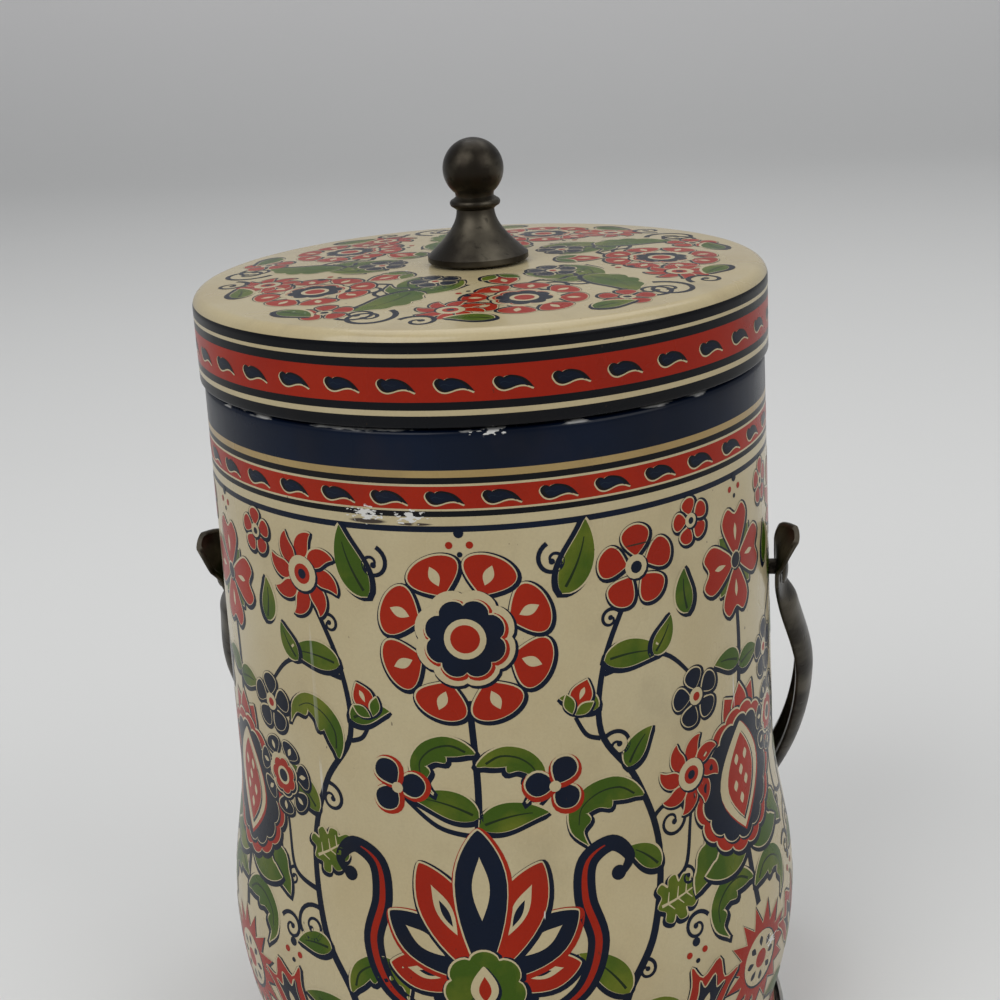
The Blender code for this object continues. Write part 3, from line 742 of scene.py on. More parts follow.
class Motif:
    # shapes laid over each other and then cut into one flat sheet of inks
    def __init__(self):
        self.shapes = []
        self.sheet = None

    def ink(self, colour, *outlines):
        self.shapes.append((colour, outlines))

    def line(self, colour, path, start, end=None, closed=False, swell=0.0):
        end = start if end is None else end
        count = len(path)
        pairs = []
        for i, (x, y) in enumerate(path):
            if closed:
                (ax, ay), (bx, by) = path[i - 1], path[(i + 1) % count]
            else:
                (ax, ay), (bx, by) = path[max(i - 1, 0)], path[min(i + 1, count - 1)]
            long = math.hypot(bx - ax, by - ay) or 1.0
            share = i / (count - 1)
            w = (start + (end - start) * share + swell * math.sin(math.pi * share)) / 2
            nx, ny = -(by - ay) / long * w, (bx - ax) / long * w
            pairs.append(((x + nx, y + ny), (x - nx, y - ny)))
        steps = range(count) if closed else range(count - 1)
        quads = [(pairs[i][0], pairs[i][1], pairs[(i + 1) % count][1], pairs[(i + 1) % count][0]) for i in steps]
        self.shapes.append((colour, quads))

    def printed(self, fill, outline, line="navy", thick=1.15, shift=1.0):
        # a fill with its dark line, heavier low on the right, and a pale edge high on the left
        low = placed(outline, 0, 0.15 * shift, -0.17 * shift)
        self.shapes.append((line, [low]))
        self.line(line, low, thick, closed=True)
        self.line("cream", placed(outline, 0, -0.06 * shift, 0.08 * shift), 0.30 + 0.08 * shift, closed=True)
        self.ink(fill, outline)

    def flat(self, grid=1.5):
        if self.sheet:
            return self.sheet
        points, faces, bins = [], [], {}
        for colour, outlines in self.shapes:
            for outline in outlines:
                before = [outline[-1], *outline[:-1]]
                if abs(sum(a[0] * b[1] - b[0] * a[1] for a, b in zip(before, outline))) < 0.0004:  # too thin to cut
                    continue
                first = len(points)
                for i, (ax, ay) in enumerate(outline):
                    bx, by = outline[(i + 1) % len(outline)]
                    parts = max(1, math.ceil(math.hypot(bx - ax, by - ay) / 1.2))
                    points += [Vector((ax + (bx - ax) * k / parts, ay + (by - ay) * k / parts)) for k in range(parts)]
                faces.append(list(range(first, len(points))))
                xs, ys = [x for x, _ in outline], [y for _, y in outline]
                for i in range(math.floor(min(xs)), math.floor(max(xs)) + 1):
                    for j in range(math.floor(min(ys)), math.floor(max(ys)) + 1):
                        bins.setdefault((i, j), []).append((colour, outline))
        xs, ys = [p.x for p in points], [p.y for p in points]
        for i in range(int((max(xs) - min(xs)) / grid)):
            for j in range(int((max(ys) - min(ys)) / grid)):
                points.append(Vector((min(xs) + (i + 0.5 + 0.25 * (j % 2)) * grid, min(ys) + (j + 0.5) * grid)))
        made, _, cells, *_ = delaunay_2d_cdt(points, [], faces, 1, 0.002, False)
        byInk = {}
        for cell in cells:
            x, y = (sum(made[v][k] for v in cell) / len(cell) for k in (0, 1))
            for colour, outline in reversed(bins.get((math.floor(x), math.floor(y)), [])):
                if holds(outline, x, y):  # the last shape drawn is the one seen
                    byInk.setdefault(colour, []).append(cell)
                    break
        self.sheet = ([(p.x, p.y) for p in made], byInk)
        return self.sheet


def rosetteMotif(petals, radius, fill, heart, centre):
    m = Motif()
    for i in range(petals):
        turn = 360 * (i + 0.5) / petals
        m.printed(fill, placed(placed(petal(radius * 0.46, radius * 0.60, 0.64, 0.45), 0, 0, radius * 0.54), turn))
        m.ink("cream", placed(placed(petal(radius * 0.24, radius * 0.12, 0.5), 0, 0, radius * 0.66), turn))
    m.printed("cream", scalloped(radius * 0.56, petals, 0.10), thick=0.8)
    m.printed(heart, scalloped(radius * 0.46, petals, 0.16), line=centre, thick=0.9)
    m.ink("cream", disc(radius * 0.235))
    m.ink(centre, disc(radius * 0.165))
    return m


def burstMotif(tips=15, radius=9.6):
    m = Motif()
    m.printed("red", starOutline(radius, radius * 0.64, tips))
    m.printed("cream", disc(radius * 0.48), thick=1.0)
    for i in range(8):
        m.ink("navy", placed(placed(petal(radius * 0.20, radius * 0.12), 0, 0, radius * 0.23), 45 * i))
    m.ink("red", disc(radius * 0.17))
    return m


def flowerMotif(fill, centre, size, petals=5, full=0.66):
    m = Motif()
    for i in range(petals):
        shape = placed(petal(size * 0.74, size * 3.6 / petals, full, 0.5, 14), 0, 0, size * 0.26)
        m.printed(fill, placed(shape, 360 * i / petals))
    m.printed("cream", disc(size * 0.26, 14), thick=0.7)
    m.ink(centre, disc(size * 0.15, 12))
    return m


def heartFlowerMotif(size=7.6):
    # four notched petals with short leaves between them
    m = Motif()
    lobe = smoothPath([(0, 0.12), (0.30, 0.45), (0.44, 0.78), (0.26, 1.0), (0, 0.86), (-0.26, 1.0),
                       (-0.44, 0.78), (-0.30, 0.45)], 4, True)
    for i in range(4):
        m.printed("green", placed(placed(petal(size * 0.55, size * 0.24), 0, 0, size * 0.22), 90 * i + 45), thick=0.9)
    for i in range(4):
        m.printed("red", placed([(x * size, y * size) for x, y in lobe], 90 * i))
        m.ink("cream", placed(placed(petal(size * 0.34, size * 0.10), 0, 0, size * 0.36), 90 * i))
    m.printed("navy", disc(size * 0.15, 12), thick=0.5)
    return m


def fanMotif():
    # a spread of petals on a cup, with a scroll on each side
    m = Motif()
    for side in (1, -1):
        m.line("navy", placed(curlPath(1.2, 3.0), 38 * side, -1.2 * side, 1.0, 1.0, -side), 1.9, 0.8)
        m.line("red", placed(curlPath(1.1, 2.9), 38 * side, -1.2 * side, 1.0, 1.0, -side), 0.5, 0.3)
    m.ink("navy", scalloped(6.4, 9, 0.14))
    spread = ((82, 11.8, 5.0, "red"), (55, 14.6, 5.6, "navy"), (27, 17.2, 6.0, "red"), (0, 20.2, 6.6, "navy"))
    for turn, long, width, fill in spread:
        for side in ((1, -1) if turn else (1,)):
            lean = -turn * side
            line = "navy" if fill == "red" else "red"
            m.printed(fill, placed(petal(long, width, 0.62, 0.75), lean, 0, 1.6), line)
            eye = placed(petal(long * 0.42, width * 0.34, 0.5, 1.2), 0, 0, long * 0.40)
            m.ink("cream", placed(eye, lean, 0, 1.6))
            if fill == "red":
                pupil = placed(petal(long * 0.22, width * 0.15, 0.5), 0, 0, long * 0.47)
                m.ink("navy", placed(pupil, lean, 0, 1.6))
    m.printed("green", placed(scalloped(4.9, 7, 0.16), 12, 0, 0.8))
    m.printed("cream", placed(petal(5.4, 3.0, 0.45), 0, 0, -1.9), thick=0.7)
    m.ink("red", placed(petal(3.4, 1.5, 0.45), 0, 0, -1.0))
    return m


def fruitMotif():
    # a round fruit split open, with a crown and leaves
    m = Motif()
    for side in (1, -1):
        m.printed("green", placed(leafOutline(13.0, 6.2, 50, 5), -98 * side, 0, 2.2, 1.0, side))
        m.printed("green", placed(leafOutline(10.0, 5.0, -50, 4), -128 * side, 0, 1.0, 1.0, side))
    for turn in (-30, 30, 0):
        m.printed("red", placed(petal(7.0, 3.8, 0.55, 1.1), -turn, 0, 13.4))
    m.printed("red", placed(scalloped(9.6, 16, 0.07), 0, 0, 7.8), thick=1.2)
    m.printed("navy", placed(scalloped(8.3, 14, 0.08), 0, 0, 7.8), thick=0.6)
    m.printed("cream", placed(petal(14.2, 9.2, 0.48, 0.9), 0, 0, 0.8), line="red", thick=0.7)
    m.printed("red", placed(petal(11.6, 6.4, 0.48, 0.9), 0, 0, 2.1), thick=0.6)
    for x, y in ((0, 4.6), (-1.3, 6.7), (1.3, 6.7), (0, 8.5), (-1.1, 10.3), (1.1, 10.3)):
        m.ink("cream", placed(petal(1.6, 1.0, 0.5, 1.0, 6), 0, x, y - 0.7))
    return m


def leafMotif(length, width, bend, lobes=0):
    m = Motif()
    m.printed("green", leafOutline(length, width, bend, lobes), shift=2.0)
    line = [(x, y) for x, y, _ in spine(length, bend)]
    m.line("leafDark", line[2:-5], 0.46, 0.16)
    return m


hookKnots = [(0, 0), (-1.9, 3.2), (-2.0, 7.4), (0.8, 11.4), (5.4, 13.0), (9.6, 11.0), (11.2, 7.0), (11.2, 7.0),
             (9.0, 8.9), (6.6, 8.4), (5.6, 9.6), (5.6, 9.6), (4.0, 7.8), (3.6, 5.6), (2.2, 5.8), (2.2, 5.8),
             (1.5, 3.4), (0.7, 1.6)]


def hookMotif(size=1.0):
    # a leaf bent over to the right, scalloped on its inner side
    m = Motif()
    shape = smoothPath([(x * size, y * size) for x, y in hookKnots], 4, True)
    m.printed("green", shape, shift=1.8)
    rib = smoothPath([(0.2, 2.0), (-0.4, 5.4), (1.4, 8.9), (4.8, 10.9), (8.0, 10.2)], 4)
    m.line("leafDark", [(x * size, y * size) for x, y in rib], 0.40, 0.16)
    return m


lobeKnots = [(0, 0), (-2.0, 1.9), (-4.2, 1.2), (-5.2, 3.0), (-3.6, 4.3), (-5.4, 5.3), (-5.6, 7.4), (-3.4, 7.7),
             (-4.4, 9.8), (-3.0, 11.4), (-1.6, 10.8), (-1.2, 13.6), (0.6, 14.6), (1.8, 13.0), (1.9, 10.8), (3.6, 11.2),
             (4.6, 9.4), (3.6, 7.5), (5.8, 7.0), (5.6, 4.9), (3.7, 4.1), (5.3, 2.7), (4.0, 1.0), (2.0, 1.8)]


def oakMotif(size=1.0):
    # a broad leaf with round lobes all round
    m = Motif()
    shape = smoothPath([(x * size, y * size) for x, y in lobeKnots], 4, True)
    m.printed("green", shape, shift=1.6)
    m.line("cream", [(0, 1.2 * size), (0.2, 5.0 * size), (0.2, 11.0 * size)], 0.55, 0.25)
    for side in (1, -1):
        for y in (3.0, 6.0, 8.8):
            m.line("cream", [(0.1, y * size), (2.4 * side * size, (y + 1.3) * size)], 0.32, 0.14)
    return m


def scrollMotif():
    # a heavy scroll that swells and rolls in at its end
    m = Motif()
    path = smoothPath([(0, 0), (6.5, -2.8), (13.0, 0.4), (16.0, 7.6), (14.6, 14.6), (15.4, 20.4), (19.4, 22.6),
                       (22.2, 19.8), (20.6, 17.2)], 7)
    m.line("navy", path, 1.3, 0.9, swell=2.4)
    m.ink("navy", placed(disc(1.2, 16), 0, 20.2, 17.6))
    m.line("red", path[6:-16], 0.25, 0.2, swell=0.9)
    return m


def whirlMotif(radius=7.4, blades=8):
    # blades that all bend one way round a disc
    m = Motif()
    for i in range(blades):
        blade = leafOutline(radius * 0.72, radius * 0.40, 70)
        m.printed("red", placed(placed(blade, 0, 0, radius * 0.30), 360 * i / blades), thick=0.95)
    m.printed("cream", disc(radius * 0.36, 20), thick=0.8)
    m.ink("red", disc(radius * 0.22, 18))
    m.ink("navy", disc(radius * 0.11, 14))
    return m


def dotsMotif():
    m = Motif()
    dots = ((0, 2.6, 0.75, "navy"), (-1.5, 0.8, 0.55, "red"), (1.5, 0.8, 0.55, "red"), (0, -0.6, 0.42, "navy"))
    for x, y, r, colour in dots:
        m.ink(colour, placed(disc(r, 12), 0, x, y))
    return m


def bellMotif():
    # a hanging bell with three tips and a dark cap
    m = Motif()
    bell = smoothPath([(-1.4, 0.6), (-3.6, 3.2), (-4.4, 7.6), (-5.6, 10.8), (-2.6, 9.2), (0, 12.6), (2.6, 9.2),
                       (5.6, 10.8), (4.4, 7.6), (3.6, 3.2), (1.4, 0.6)], 4, True)
    m.printed("red", bell)
    m.printed("navy", placed([(x * 0.52, y * 0.70) for x, y in bell], 0, 0, 1.0), thick=0.5)
    m.ink("cream", placed(petal(3.6, 1.3), 0, 0, 3.0))
    m.printed("green", placed(scalloped(2.6, 5, 0.2), 18, 0, 0.6), thick=0.9)
    return m


def budMotif():
    m = Motif()
    m.printed("red", petal(6.0, 4.0, 0.5, 1.0))
    m.ink("cream", placed(petal(2.4, 0.9), 0, 0, 2.2))
    for side in (1, -1):
        m.printed("green", placed(petal(3.8, 1.9, 0.5), -38 * side, 0.3 * side, -0.6), thick=0.8)
    return m


def cloverMotif():
    m = Motif()
    for turn in (-115, 115, 0):
        m.printed("navy", placed(petal(3.6, 3.0, 0.6, 0.5, 9), turn, 0, 0.3), line="red", thick=1.0)
    m.ink("cream", disc(0.7, 12))
    return m


def curlMotif(turns, radius, thick):
    m = Motif()
    path = curlPath(turns, radius)
    m.line("navy", path, thick, thick * 0.5)
    m.ink("navy", placed(disc(thick * 0.66, 12), 0, *path[-1]))
    return m


motifs = {
    "rosette": rosetteMotif(8, 12.4, "red", "navy", "red"),
    "rosetteBlue": rosetteMotif(7, 7.8, "navy", "red", "navy"),
    "burst": burstMotif(), "flower": flowerMotif("navy", "red", 4.8), "flowerRed": flowerMotif("red", "navy", 6.4),
    "flowerSmall": flowerMotif("red", "navy", 3.6), "hearts": heartFlowerMotif(),
    "fan": fanMotif(), "fruit": fruitMotif(),
    "leaf": leafMotif(11.5, 5.0, 34), "leafLobed": leafMotif(17.0, 8.2, 60, 5), "leafSmall": leafMotif(7.2, 3.7, 30),
    "hook": hookMotif(), "hookSmall": hookMotif(0.72), "oak": oakMotif(), "oakSmall": oakMotif(0.72),
    "scroll": scrollMotif(), "whirl": whirlMotif(), "bell": bellMotif(), "bud": budMotif(),
    "clover": cloverMotif(), "dots": dotsMotif(),
    "curl": curlMotif(1.30, 2.7, 0.72), "curlSmall": curlMotif(1.15, 1.9, 0.62),
    "curlWide": curlMotif(1.5, 4.2, 0.85),
}

# the printed field: motif, x and y in mm, turn, size, and -1 where it is mirrored
# x runs round the tin from the middle of a panel, y up from the foot
fieldPrint = {
    "panels": 3,
    "start": -88.0,   # degrees round the tin of the first panel's middle
    "foot": 13.4, "lift": 0.00025,   # mm: the panel's foot, and how far each motif lies over the one before
    "stemLevel": 0.018, "motifLevel": 0.022,
    # stems: knots in mm, the width at each end, and what grows on it:
    # share of the way, motif, side, spread in degrees, size
    "stems": [
        ([(0, -1), (0.6, 10), (0, 22)], 1.5, 1.2, [
            (0.18, "leafSmall", 1, 62, 1.0), (0.30, "leafSmall", -1, 62, 1.0)]),
        ([(0, 45), (0.5, 56), (0, 70)], 1.1, 1.0, [
            (0.22, "leaf", 1, 64, 0.95), (0.34, "leaf", -1, 64, 0.95),
            (0.62, "hookSmall", 1, 74, 1.0), (0.70, "hookSmall", -1, 74, 1.0)]),
        ([(0, 48), (6, 49.6), (12, 55)], 0.9, 0.6, []),
        ([(0, 48), (-6, 49.6), (-12, 55)], 0.9, 0.6, []),
        ([(0, 2), (7, 4), (13, 2), (19, 5.5)], 1.1, 0.7, [
            (0.34, "curlSmall", -1, 40, 1.0), (0.66, "leafSmall", 1, 46, 0.9)]),
        ([(0, 2), (-7, 4), (-13, 2), (-19, 5.5)], 1.1, 0.7, [
            (0.34, "curlSmall", 1, 40, 1.0), (0.66, "leafSmall", -1, 46, 0.9)]),
        ([(48.2, 24), (47.8, 30), (48.2, 38)], 1.4, 1.2, [
            (0.30, "hookSmall", 1, 70, 1.1), (0.42, "hookSmall", -1, 70, 1.1)]),
        ([(48.2, 62), (48.6, 69), (48.2, 76)], 1.2, 1.0, [
            (0.22, "leafSmall", 1, 70, 1.0), (0.34, "leafSmall", -1, 70, 1.0)]),
        ([(25, -1), (20, 8), (20.5, 19), (26, 29), (28.5, 42), (25, 54), (19.5, 63), (20.5, 74), (25, 84)],
         1.5, 0.8, [
            (0.03, "leafSmall", 1, 52, 1.0), (0.09, "curl", -1, 40, 1.0), (0.19, "hookSmall", 1, 52, 1.0),
            (0.26, "leaf", -1, 52, 0.95), (0.33, "curlSmall", 1, 56, 1.0), (0.40, "oakSmall", 1, 62, 0.86),
            (0.47, "leafSmall", -1, 46, 1.0), (0.54, "curlWide", 1, 40, 0.9), (0.60, "hook", -1, 44, 0.86),
            (0.66, "leafSmall", 1, 62, 1.0), (0.73, "curl", 1, 58, 1.0), (0.80, "leafSmall", -1, 60, 0.9),
            (0.88, "leaf", 1, 66, 0.9), (0.95, "curlSmall", -1, 50, 1.0)]),
        ([(27.6, 35), (33, 37), (35, 45)], 0.9, 0.6, [(0.5, "curlSmall", 1, 50, 0.9)]),
        ([(19.4, 62), (17.2, 63), (15.6, 66)], 0.8, 0.6, []), ([(-19.4, 62), (-17.2, 63), (-15.6, 66)], 0.8, 0.6, []),
        ([(20.4, 72), (30, 73), (36, 68)], 0.9, 0.6, [(0.45, "leafSmall", -1, 50, 0.9)]),
        ([(71.4, -1), (76.4, 8), (75.9, 19), (70.4, 29), (67.9, 42), (71.4, 54), (76.9, 63), (75.9, 74), (71.4, 84)],
         1.5, 0.8, [
            (0.03, "leafSmall", -1, 52, 1.0), (0.09, "curl", 1, 40, 1.0), (0.18, "leaf", -1, 56, 1.0),
            (0.27, "hookSmall", 1, 50, 1.0), (0.34, "leafSmall", -1, 56, 1.0), (0.41, "curlWide", -1, 46, 0.9),
            (0.49, "oakSmall", 1, 58, 0.86), (0.56, "leaf", -1, 54, 0.9), (0.63, "curl", 1, 50, 1.0),
            (0.69, "hook", -1, 48, 0.80), (0.78, "leafSmall", 1, 60, 1.0), (0.87, "leaf", -1, 60, 0.9),
            (0.95, "curlSmall", 1, 50, 1.0)]),
        ([(68.8, 35), (63, 37), (61.4, 45)], 0.9, 0.6, [(0.5, "curlSmall", -1, 50, 0.9)]),
        ([(76, 72), (66.4, 73), (60.4, 68)], 0.9, 0.6, [(0.45, "leafSmall", 1, 50, 0.9)]),
    ],
    "motifs": [
        ("oak", -3.0, 9.0, 58, 1.0, -1), ("oak", 3.0, 9.0, -58, 1.0, 1),
        ("scroll", 1.0, 22.0, 0, 1.0, 1), ("scroll", -1.0, 22.0, 0, 1.0, -1),
        ("fan", 0, 23, 0, 1.20, 1), ("rosette", 0, 79.6, 0, 1.07, 1),
        ("dots", 0, 93.0, 0, 1.0, 1), ("clover", -12.0, 55.5, 30, 1.3, 1), ("clover", 12.0, 55.5, -30, 1.3, 1),
        ("leaf", -14.5, 85.5, 34, 1.0, 1), ("leaf", 14.5, 85.5, -34, 1.0, -1), ("curl", -12.6, 93.2, -110, 1.0, 1),
        ("curl", 12.6, 93.2, 110, 1.0, -1),
        ("burst", 48.2, 14.0, 0, 1.0, 1), ("fruit", 48.2, 36.5, 0, 1.26, 1), ("hearts", 48.2, 82.6, 0, 1.12, 1),
        ("dots", 48.2, 93.4, 0, 0.9, 1), ("hook", 44.0, 4.0, 88, 0.8, -1), ("hook", 52.4, 4.0, -88, 0.8, 1),
        ("flowerRed", 26.4, 87.4, 0, 1.0, 1), ("flower", 37.0, 64.0, 10, 1.0, 1), ("flower", 59.4, 64.0, 0, 1.0, 1),
        ("whirl", 35.4, 51.5, 0, 0.92, 1), ("rosetteBlue", 61.0, 52.0, 0, 0.84, 1),
        ("whirl", 70.0, 87.4, 0, 0.98, 1), ("bell", 32.5, 9.0, -24, 0.95, 1), ("bell", 63.9, 9.0, 24, 0.95, 1),
        ("flowerSmall", 19.0, 6.6, 0, 1.0, 1), ("flowerSmall", -19.0, 6.6, 20, 1.0, 1),
        ("bud", 15.6, 67.0, -24, 0.85, 1), ("bud", -15.6, 67.0, 24, 0.85, 1),
        ("flowerSmall", 37.0, 92.0, 12, 1.0, 1), ("flowerSmall", 59.4, 92.0, 0, 1.0, 1),
        ("leafSmall", 35.8, 78.0, 16, 1.0, 1), ("leafSmall", 60.6, 78.0, -16, 1.0, -1),
        ("curl", 36.0, 28.0, 24, 1.0, -1), ("curl", 60.4, 28.0, -24, 1.0, 1),
        ("dots", 33.0, 22.0, 0, 1.0, 1), ("dots", 63.4, 22.0, 0, 1.0, 1),
    ],
}


def inkPieces(prefix, placements, bend, body):
    # placements: motif, level in mm over the sheet, x, y, turn, size, mirror
    found = {}
    for motif, level, x, y, turn, size, flip in placements:
        points, byInk = motif.flat()
        where = placed(points, turn, x, y, size, flip)
        for colour, cells in byInk.items():
            verts, faces = found.setdefault(colour, ([], []))
            used = {}
            for cell in cells:
                for i in cell:
                    if i not in used:
                        used[i] = len(verts)
                        verts.append((*where[i], level))
                faces.append(tuple(used[i] for i in (cell if flip > 0 else reversed(cell))))
    for colour, (verts, faces) in found.items():
        name = prefix + colour[0].upper() + colour[1:]
        bent = [bend(*v) for v in verts]
        mesh = bpy.data.meshes.new(name)
        mesh.from_pydata([point for point, _ in bent], [], faces)
        mesh.materials.append(inks[colour])
        mesh.shade_smooth()
        mesh.normals_split_custom_set_from_vertices([normal for _, normal in bent])
        piece = bpy.data.objects.new(name, mesh)
        bpy.context.scene.collection.objects.link(piece)
        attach(piece, body)


def wrappedOnWall(x, y, level):
    a = x / tin["wrap"] + math.radians(fieldPrint["start"])
    z = y * mm
    r = wallRadius(z) - tin["inkRoom"] + level * mm
    lean = (wallRadius(z + 0.0002) - wallRadius(z - 0.0002)) / 0.0004
    normal = Vector((math.cos(a), math.sin(a), -lean)).normalized()
    return (r * math.cos(a), r * math.sin(a), z), normal


def fieldPlacements():
    vines, blooms = [], []
    wide = 2 * math.pi * tin["wrap"] / fieldPrint["panels"]
    stems = Motif()
    grown = []
    for knots, start, end, growths in fieldPrint["stems"]:
        path = smoothPath(knots)
        stems.line("navy", path, start, end)
        for along, kind, side, spread, size in growths:
            i = min(max(round(along * (len(path) - 1)), 1), len(path) - 2)
            (ax, ay), (bx, by) = path[i - 1], path[i + 1]
            heading = math.degrees(math.atan2(by - ay, bx - ax))
            grown.append((kind, *path[i], heading - 90 - side * spread, size, side))
    for panel in range(fieldPrint["panels"]):
        offset = panel * wide
        vines.append((stems, fieldPrint["stemLevel"], offset, fieldPrint["foot"], 0, 1, 1))
        for order, (kind, x, y, turn, size, flip) in enumerate(grown + fieldPrint["motifs"]):
            level = fieldPrint["motifLevel"] + fieldPrint["lift"] * order
            one = (motifs[kind], level, x + offset, y + fieldPrint["foot"], turn, size, flip)
            (vines if order < len(grown) else blooms).append(one)
    return vines, blooms


# the rows of drops on the red bands
dropRows = {
    "count": 35, "level": 0.020,
    "wallPhase": -0.2, "wallLength": 5.6, "wallDown": 9.75,   # shift along the row, length, mm under the top
    "lidPhase": 0.1, "lidLength": 5.5, "lidDown": 5.25,
}
dropShape = [(0.0, 0.02), (0.03, 0.12), (0.11, 0.165), (0.19, 0.155), (0.25, 0.125), (0.31, 0.155), (0.42, 0.175),
             (0.58, 0.15), (0.74, 0.09), (0.87, -0.01), (0.97, -0.13), (1.0, -0.19), (0.86, -0.125), (0.72, -0.10),
             (0.56, -0.12), (0.40, -0.17), (0.25, -0.19), (0.10, -0.13)]


def dropMotif(length):
    m = Motif()
    shape = smoothPath([((x - 0.5) * length, y * length) for x, y in dropShape], 3, True)
    m.line("cream", placed(shape, 0, -0.08, -0.12), 0.22, closed=True)
    m.ink("black", shape)
    m.ink("navy", placed(shape, 0, -0.02 * length, -0.002 * length, 0.74))
    streak = [((x - 0.5) * length, y * length) for x, y in ((0.16, -0.02), (0.26, 0.02), (0.38, -0.02), (0.50, 0.0))]
    m.line("sheen", smoothPath(streak, 4), 0.12, 0.06)
    return m


def dropPlacements(level, length, phase):
    motif = dropMotif(length)
    wide = 2 * math.pi * tin["wrap"] / dropRows["count"]
    return [(motif, dropRows["level"], (i + phase) * wide, level, 0, 1, 1) for i in range(dropRows["count"])]


vines, blooms = fieldPlacements()
inkPieces("vinePrint", vines, wrappedOnWall, "body")
inkPieces("wallPrint", blooms, wrappedOnWall, "body")
wallDrops = dropPlacements(tin["height"] / mm - dropRows["wallDown"], dropRows["wallLength"], dropRows["wallPhase"])
inkPieces("bandPrint", wallDrops, wrappedOnWall, "body")
print("wall printed")


def wrappedOnLid(x, y, level):
    a = x / tin["wrap"] + math.radians(fieldPrint["start"])
    r = lid["radius"] - tin["inkRoom"] + level * mm
    return (r * math.cos(a), r * math.sin(a), y * mm), Vector((math.cos(a), math.sin(a), 0))


lidDrops = dropPlacements(lidSkirtTop / mm - dropRows["lidDown"], dropRows["lidLength"], dropRows["lidPhase"])
inkPieces("lidPrint", lidDrops, wrappedOnLid, "lid")


# the lid's top: motifs set round it
def laidOnDome(x, y, level):
    r = math.hypot(x, y) * mm
    slope = -2 * lid["dome"] * r / lidEdge ** 2
    out = Vector((x, y, 0)).normalized()
    normal = Vector((-slope * out.x, -slope * out.y, 1)).normalized()
    return (x * mm, y * mm, domeHeight(r) - tin["inkRoom"] + level * mm), normal


topPrint = {
    "repeats": 5, "start": 10.0, "level": 0.018, "lift": 0.0002,
    # motif, distance from the middle in mm, degrees round, turn from outward, size, mirror
    "motifs": [
        ("curlWide", 19.5, 17, 96, 1.0, 1), ("curlWide", 19.5, 9, -100, 1.0, -1), ("hook", 14.0, 11, 24, 0.80, -1),
        ("hook", 15.0, 43, -22, 0.84, 1), ("rosette", 29.0, -7, 0, 0.74, 1), ("leafLobed", 22.0, 26, 6, 0.84, 1),
        ("curlWide", 33.5, 30, 64, 1.1, 1), ("curlWide", 33.0, 20, -58, 1.0, -1), ("flowerRed", 37.0, 15, 0, 0.66, 1),
        ("whirl", 33.6, 45, 0, 0.74, 1), ("bud", 13.0, -7, 0, 1.1, 1), ("flower", 15.6, 27, 0, 0.80, 1),
        ("curl", 38.6, 35, 168, 1.2, 1), ("leafSmall", 39.6, 4, 108, 1.0, 1), ("leafSmall", 39.4, 55, -118, 1.0, -1),
        ("dots", 23.0, 48, 0, 0.9, 1),
    ],
}


def topPlacements():
    made = []
    for k in range(topPrint["repeats"]):
        for order, (kind, away, along, turn, size, flip) in enumerate(topPrint["motifs"]):
            a = math.radians(360 * k / topPrint["repeats"] + along + topPrint["start"])
            level = topPrint["level"] + topPrint["lift"] * order
            made.append((motifs[kind], level, away * math.cos(a), away * math.sin(a),
                         math.degrees(a) - 90 + turn, size, flip))
    return made


inkPieces("topPrint", topPlacements(), laidOnDome, "lid")
print("lid printed")

# floor, backdrop, light
studio = {
    # the backdrop's lighter colour is painted light, standing in for lamp light that falls off up the sweep
    "floor": (0.65, 0.65, 0.635), "backdropPaintedLight": (0.79, 0.78, 0.765), "paintedLightUpTo": 0.14,
    "size": 4.0, "wall": 2.4, "sweep": 0.8, "aim": 0.07,
    "sky": (0.93, 0.95, 1.0), "world": 0.38,
    # where, size, watts
    "lamps": [((-0.55, -0.75, 0.95), 0.9, 8.4), ((0.85, -0.45, 0.70), 0.8, 4.2), ((0.05, 0.35, 1.10), 1.0, 5.0)],
}


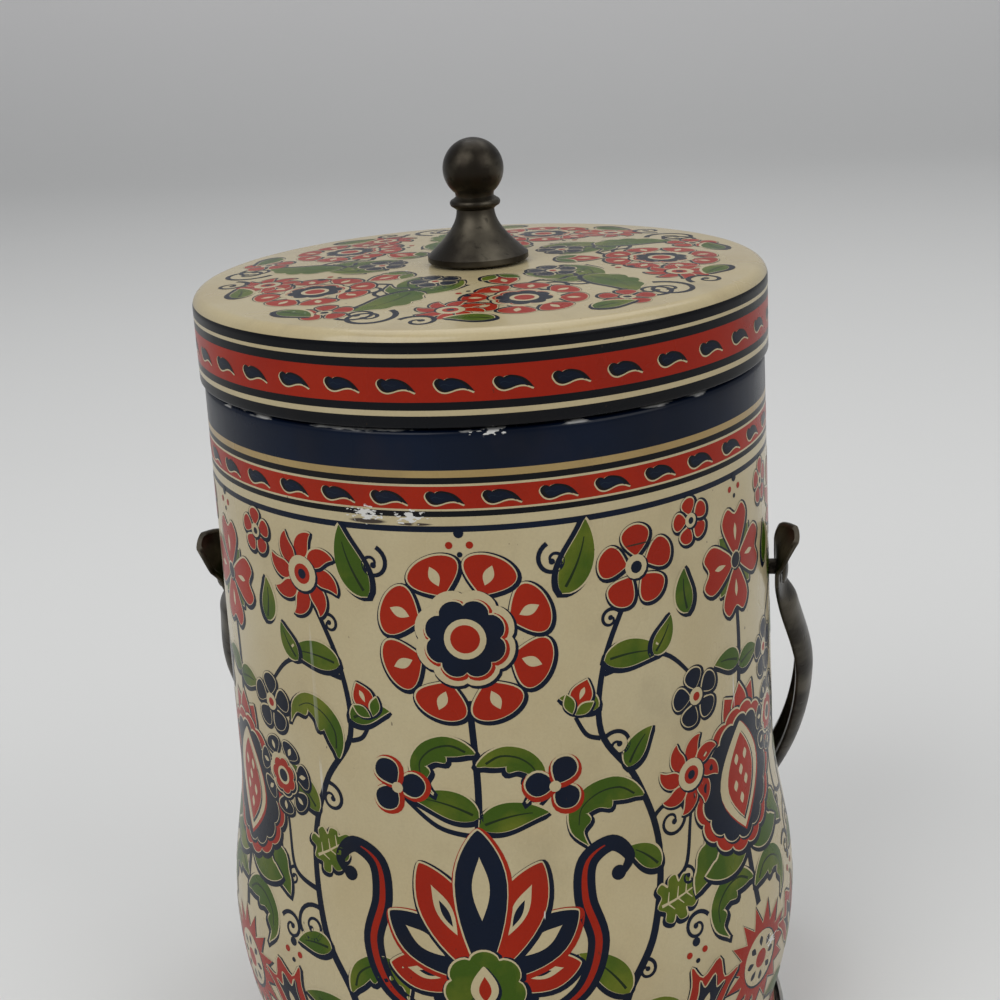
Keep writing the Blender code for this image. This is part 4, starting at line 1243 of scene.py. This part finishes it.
def floorPiece():
    deselect()
    bpy.ops.mesh.primitive_plane_add(size=studio["size"], location=(0, 0, 0))
    floor = bpy.context.object
    floor.name = "floor"
    bpy.ops.object.mode_set(mode="EDIT")
    bpy.ops.mesh.select_all(action="DESELECT")
    bpy.ops.object.mode_set(mode="OBJECT")
    for edge in floor.data.edges:
        ends = [floor.data.vertices[v].co.y for v in edge.vertices]
        edge.select = min(ends) > studio["size"] * 0.475  # the far edge
    bpy.ops.object.mode_set(mode="EDIT")
    bpy.ops.mesh.extrude_edges_move(TRANSFORM_OT_translate={"value": (0, 0, studio["wall"])})
    bpy.ops.object.mode_set(mode="OBJECT")
    bend = floor.modifiers.new("sweep", "BEVEL")
    bend.width = studio["sweep"]
    bend.segments = 16
    bpy.ops.object.modifier_apply(modifier=bend.name)
    bpy.ops.object.shade_smooth()
    made, tree, shader = newMaterial("floor paper")
    where = addNode(tree, "ShaderNodeTexCoord").outputs["Object"]
    tone = rangeOf(tree, noiseOf(tree, where, 4.0, 3.0), 0.3, 0.7)
    paper = mixColour(tree, tone, tuple(c * 0.985 for c in studio["floor"]), studio["floor"])
    height = addNode(tree, "ShaderNodeSeparateXYZ")
    join(tree, where, height.inputs[0])
    # painted light: the paper turns lighter from the floor up the sweep, for lamp light that falls off there
    paper = mixColour(tree, rangeOf(tree, height.outputs[2], 0.0, studio["paintedLightUpTo"]), paper, studio["backdropPaintedLight"])
    join(tree, paper, shader.inputs["Base Color"])
    shader.inputs["Roughness"].default_value = 0.75
    floor.data.materials.append(made)


floorPiece()


def lampAt(index, place, size, watts):
    data = bpy.data.lights.new("lamp%d" % index, "AREA")
    data.energy = watts
    data.size = size
    lamp = bpy.data.objects.new(data.name, data)
    bpy.context.scene.collection.objects.link(lamp)
    lamp.location = place
    aim = Vector((0, 0, studio["aim"])) - Vector(place)
    lamp.rotation_euler = aim.to_track_quat("-Z", "Y").to_euler()


for i, (place, size, watts) in enumerate(studio["lamps"]):
    lampAt(i, place, size, watts)
world = bpy.data.worlds.new("room")
bpy.context.scene.world = world
world.use_nodes = True
sky = world.node_tree.nodes["Background"]
sky.inputs["Color"].default_value = (*studio["sky"], 1)
sky.inputs["Strength"].default_value = studio["world"]

# camera, as found from the rim, the stripes and both sides of the photograph
view = {
    "away": 0.2771, "height": 0.1885, "round": 8.5, "yaw": 0.25, "down": 17.89, "roll": -3.32,
    "lens": 63.0, "sensor": 36,
}


def cameraPiece():
    yaw, down, roll = (math.radians(view[k]) for k in ("yaw", "down", "roll"))
    ahead = Vector((math.sin(yaw) * math.cos(down), math.cos(yaw) * math.cos(down), -math.sin(down)))
    right = ahead.cross(Vector((0, 0, 1))).normalized()
    up = right.cross(ahead)
    right, up = right * math.cos(roll) + up * math.sin(roll), up * math.cos(roll) - right * math.sin(roll)
    turn = Matrix.Rotation(math.radians(view["round"]), 3, "Z")
    right, up, back = turn @ right, turn @ up, turn @ -ahead
    place = turn @ Vector((0, -view["away"], view["height"]))
    data = bpy.data.cameras.new("camera")
    data.lens = view["lens"]
    data.sensor_width = view["sensor"]
    data.clip_start = 0.01
    camera = bpy.data.objects.new("camera", data)
    bpy.context.scene.collection.objects.link(camera)
    camera.matrix_world = Matrix((
        (right.x, up.x, back.x, place.x), (right.y, up.y, back.y, place.y),
        (right.z, up.z, back.z, place.z), (0, 0, 0, 1)))
    bpy.context.scene.camera = camera


cameraPiece()
bpy.context.scene.view_settings.view_transform = "Standard"

print("scene ready")
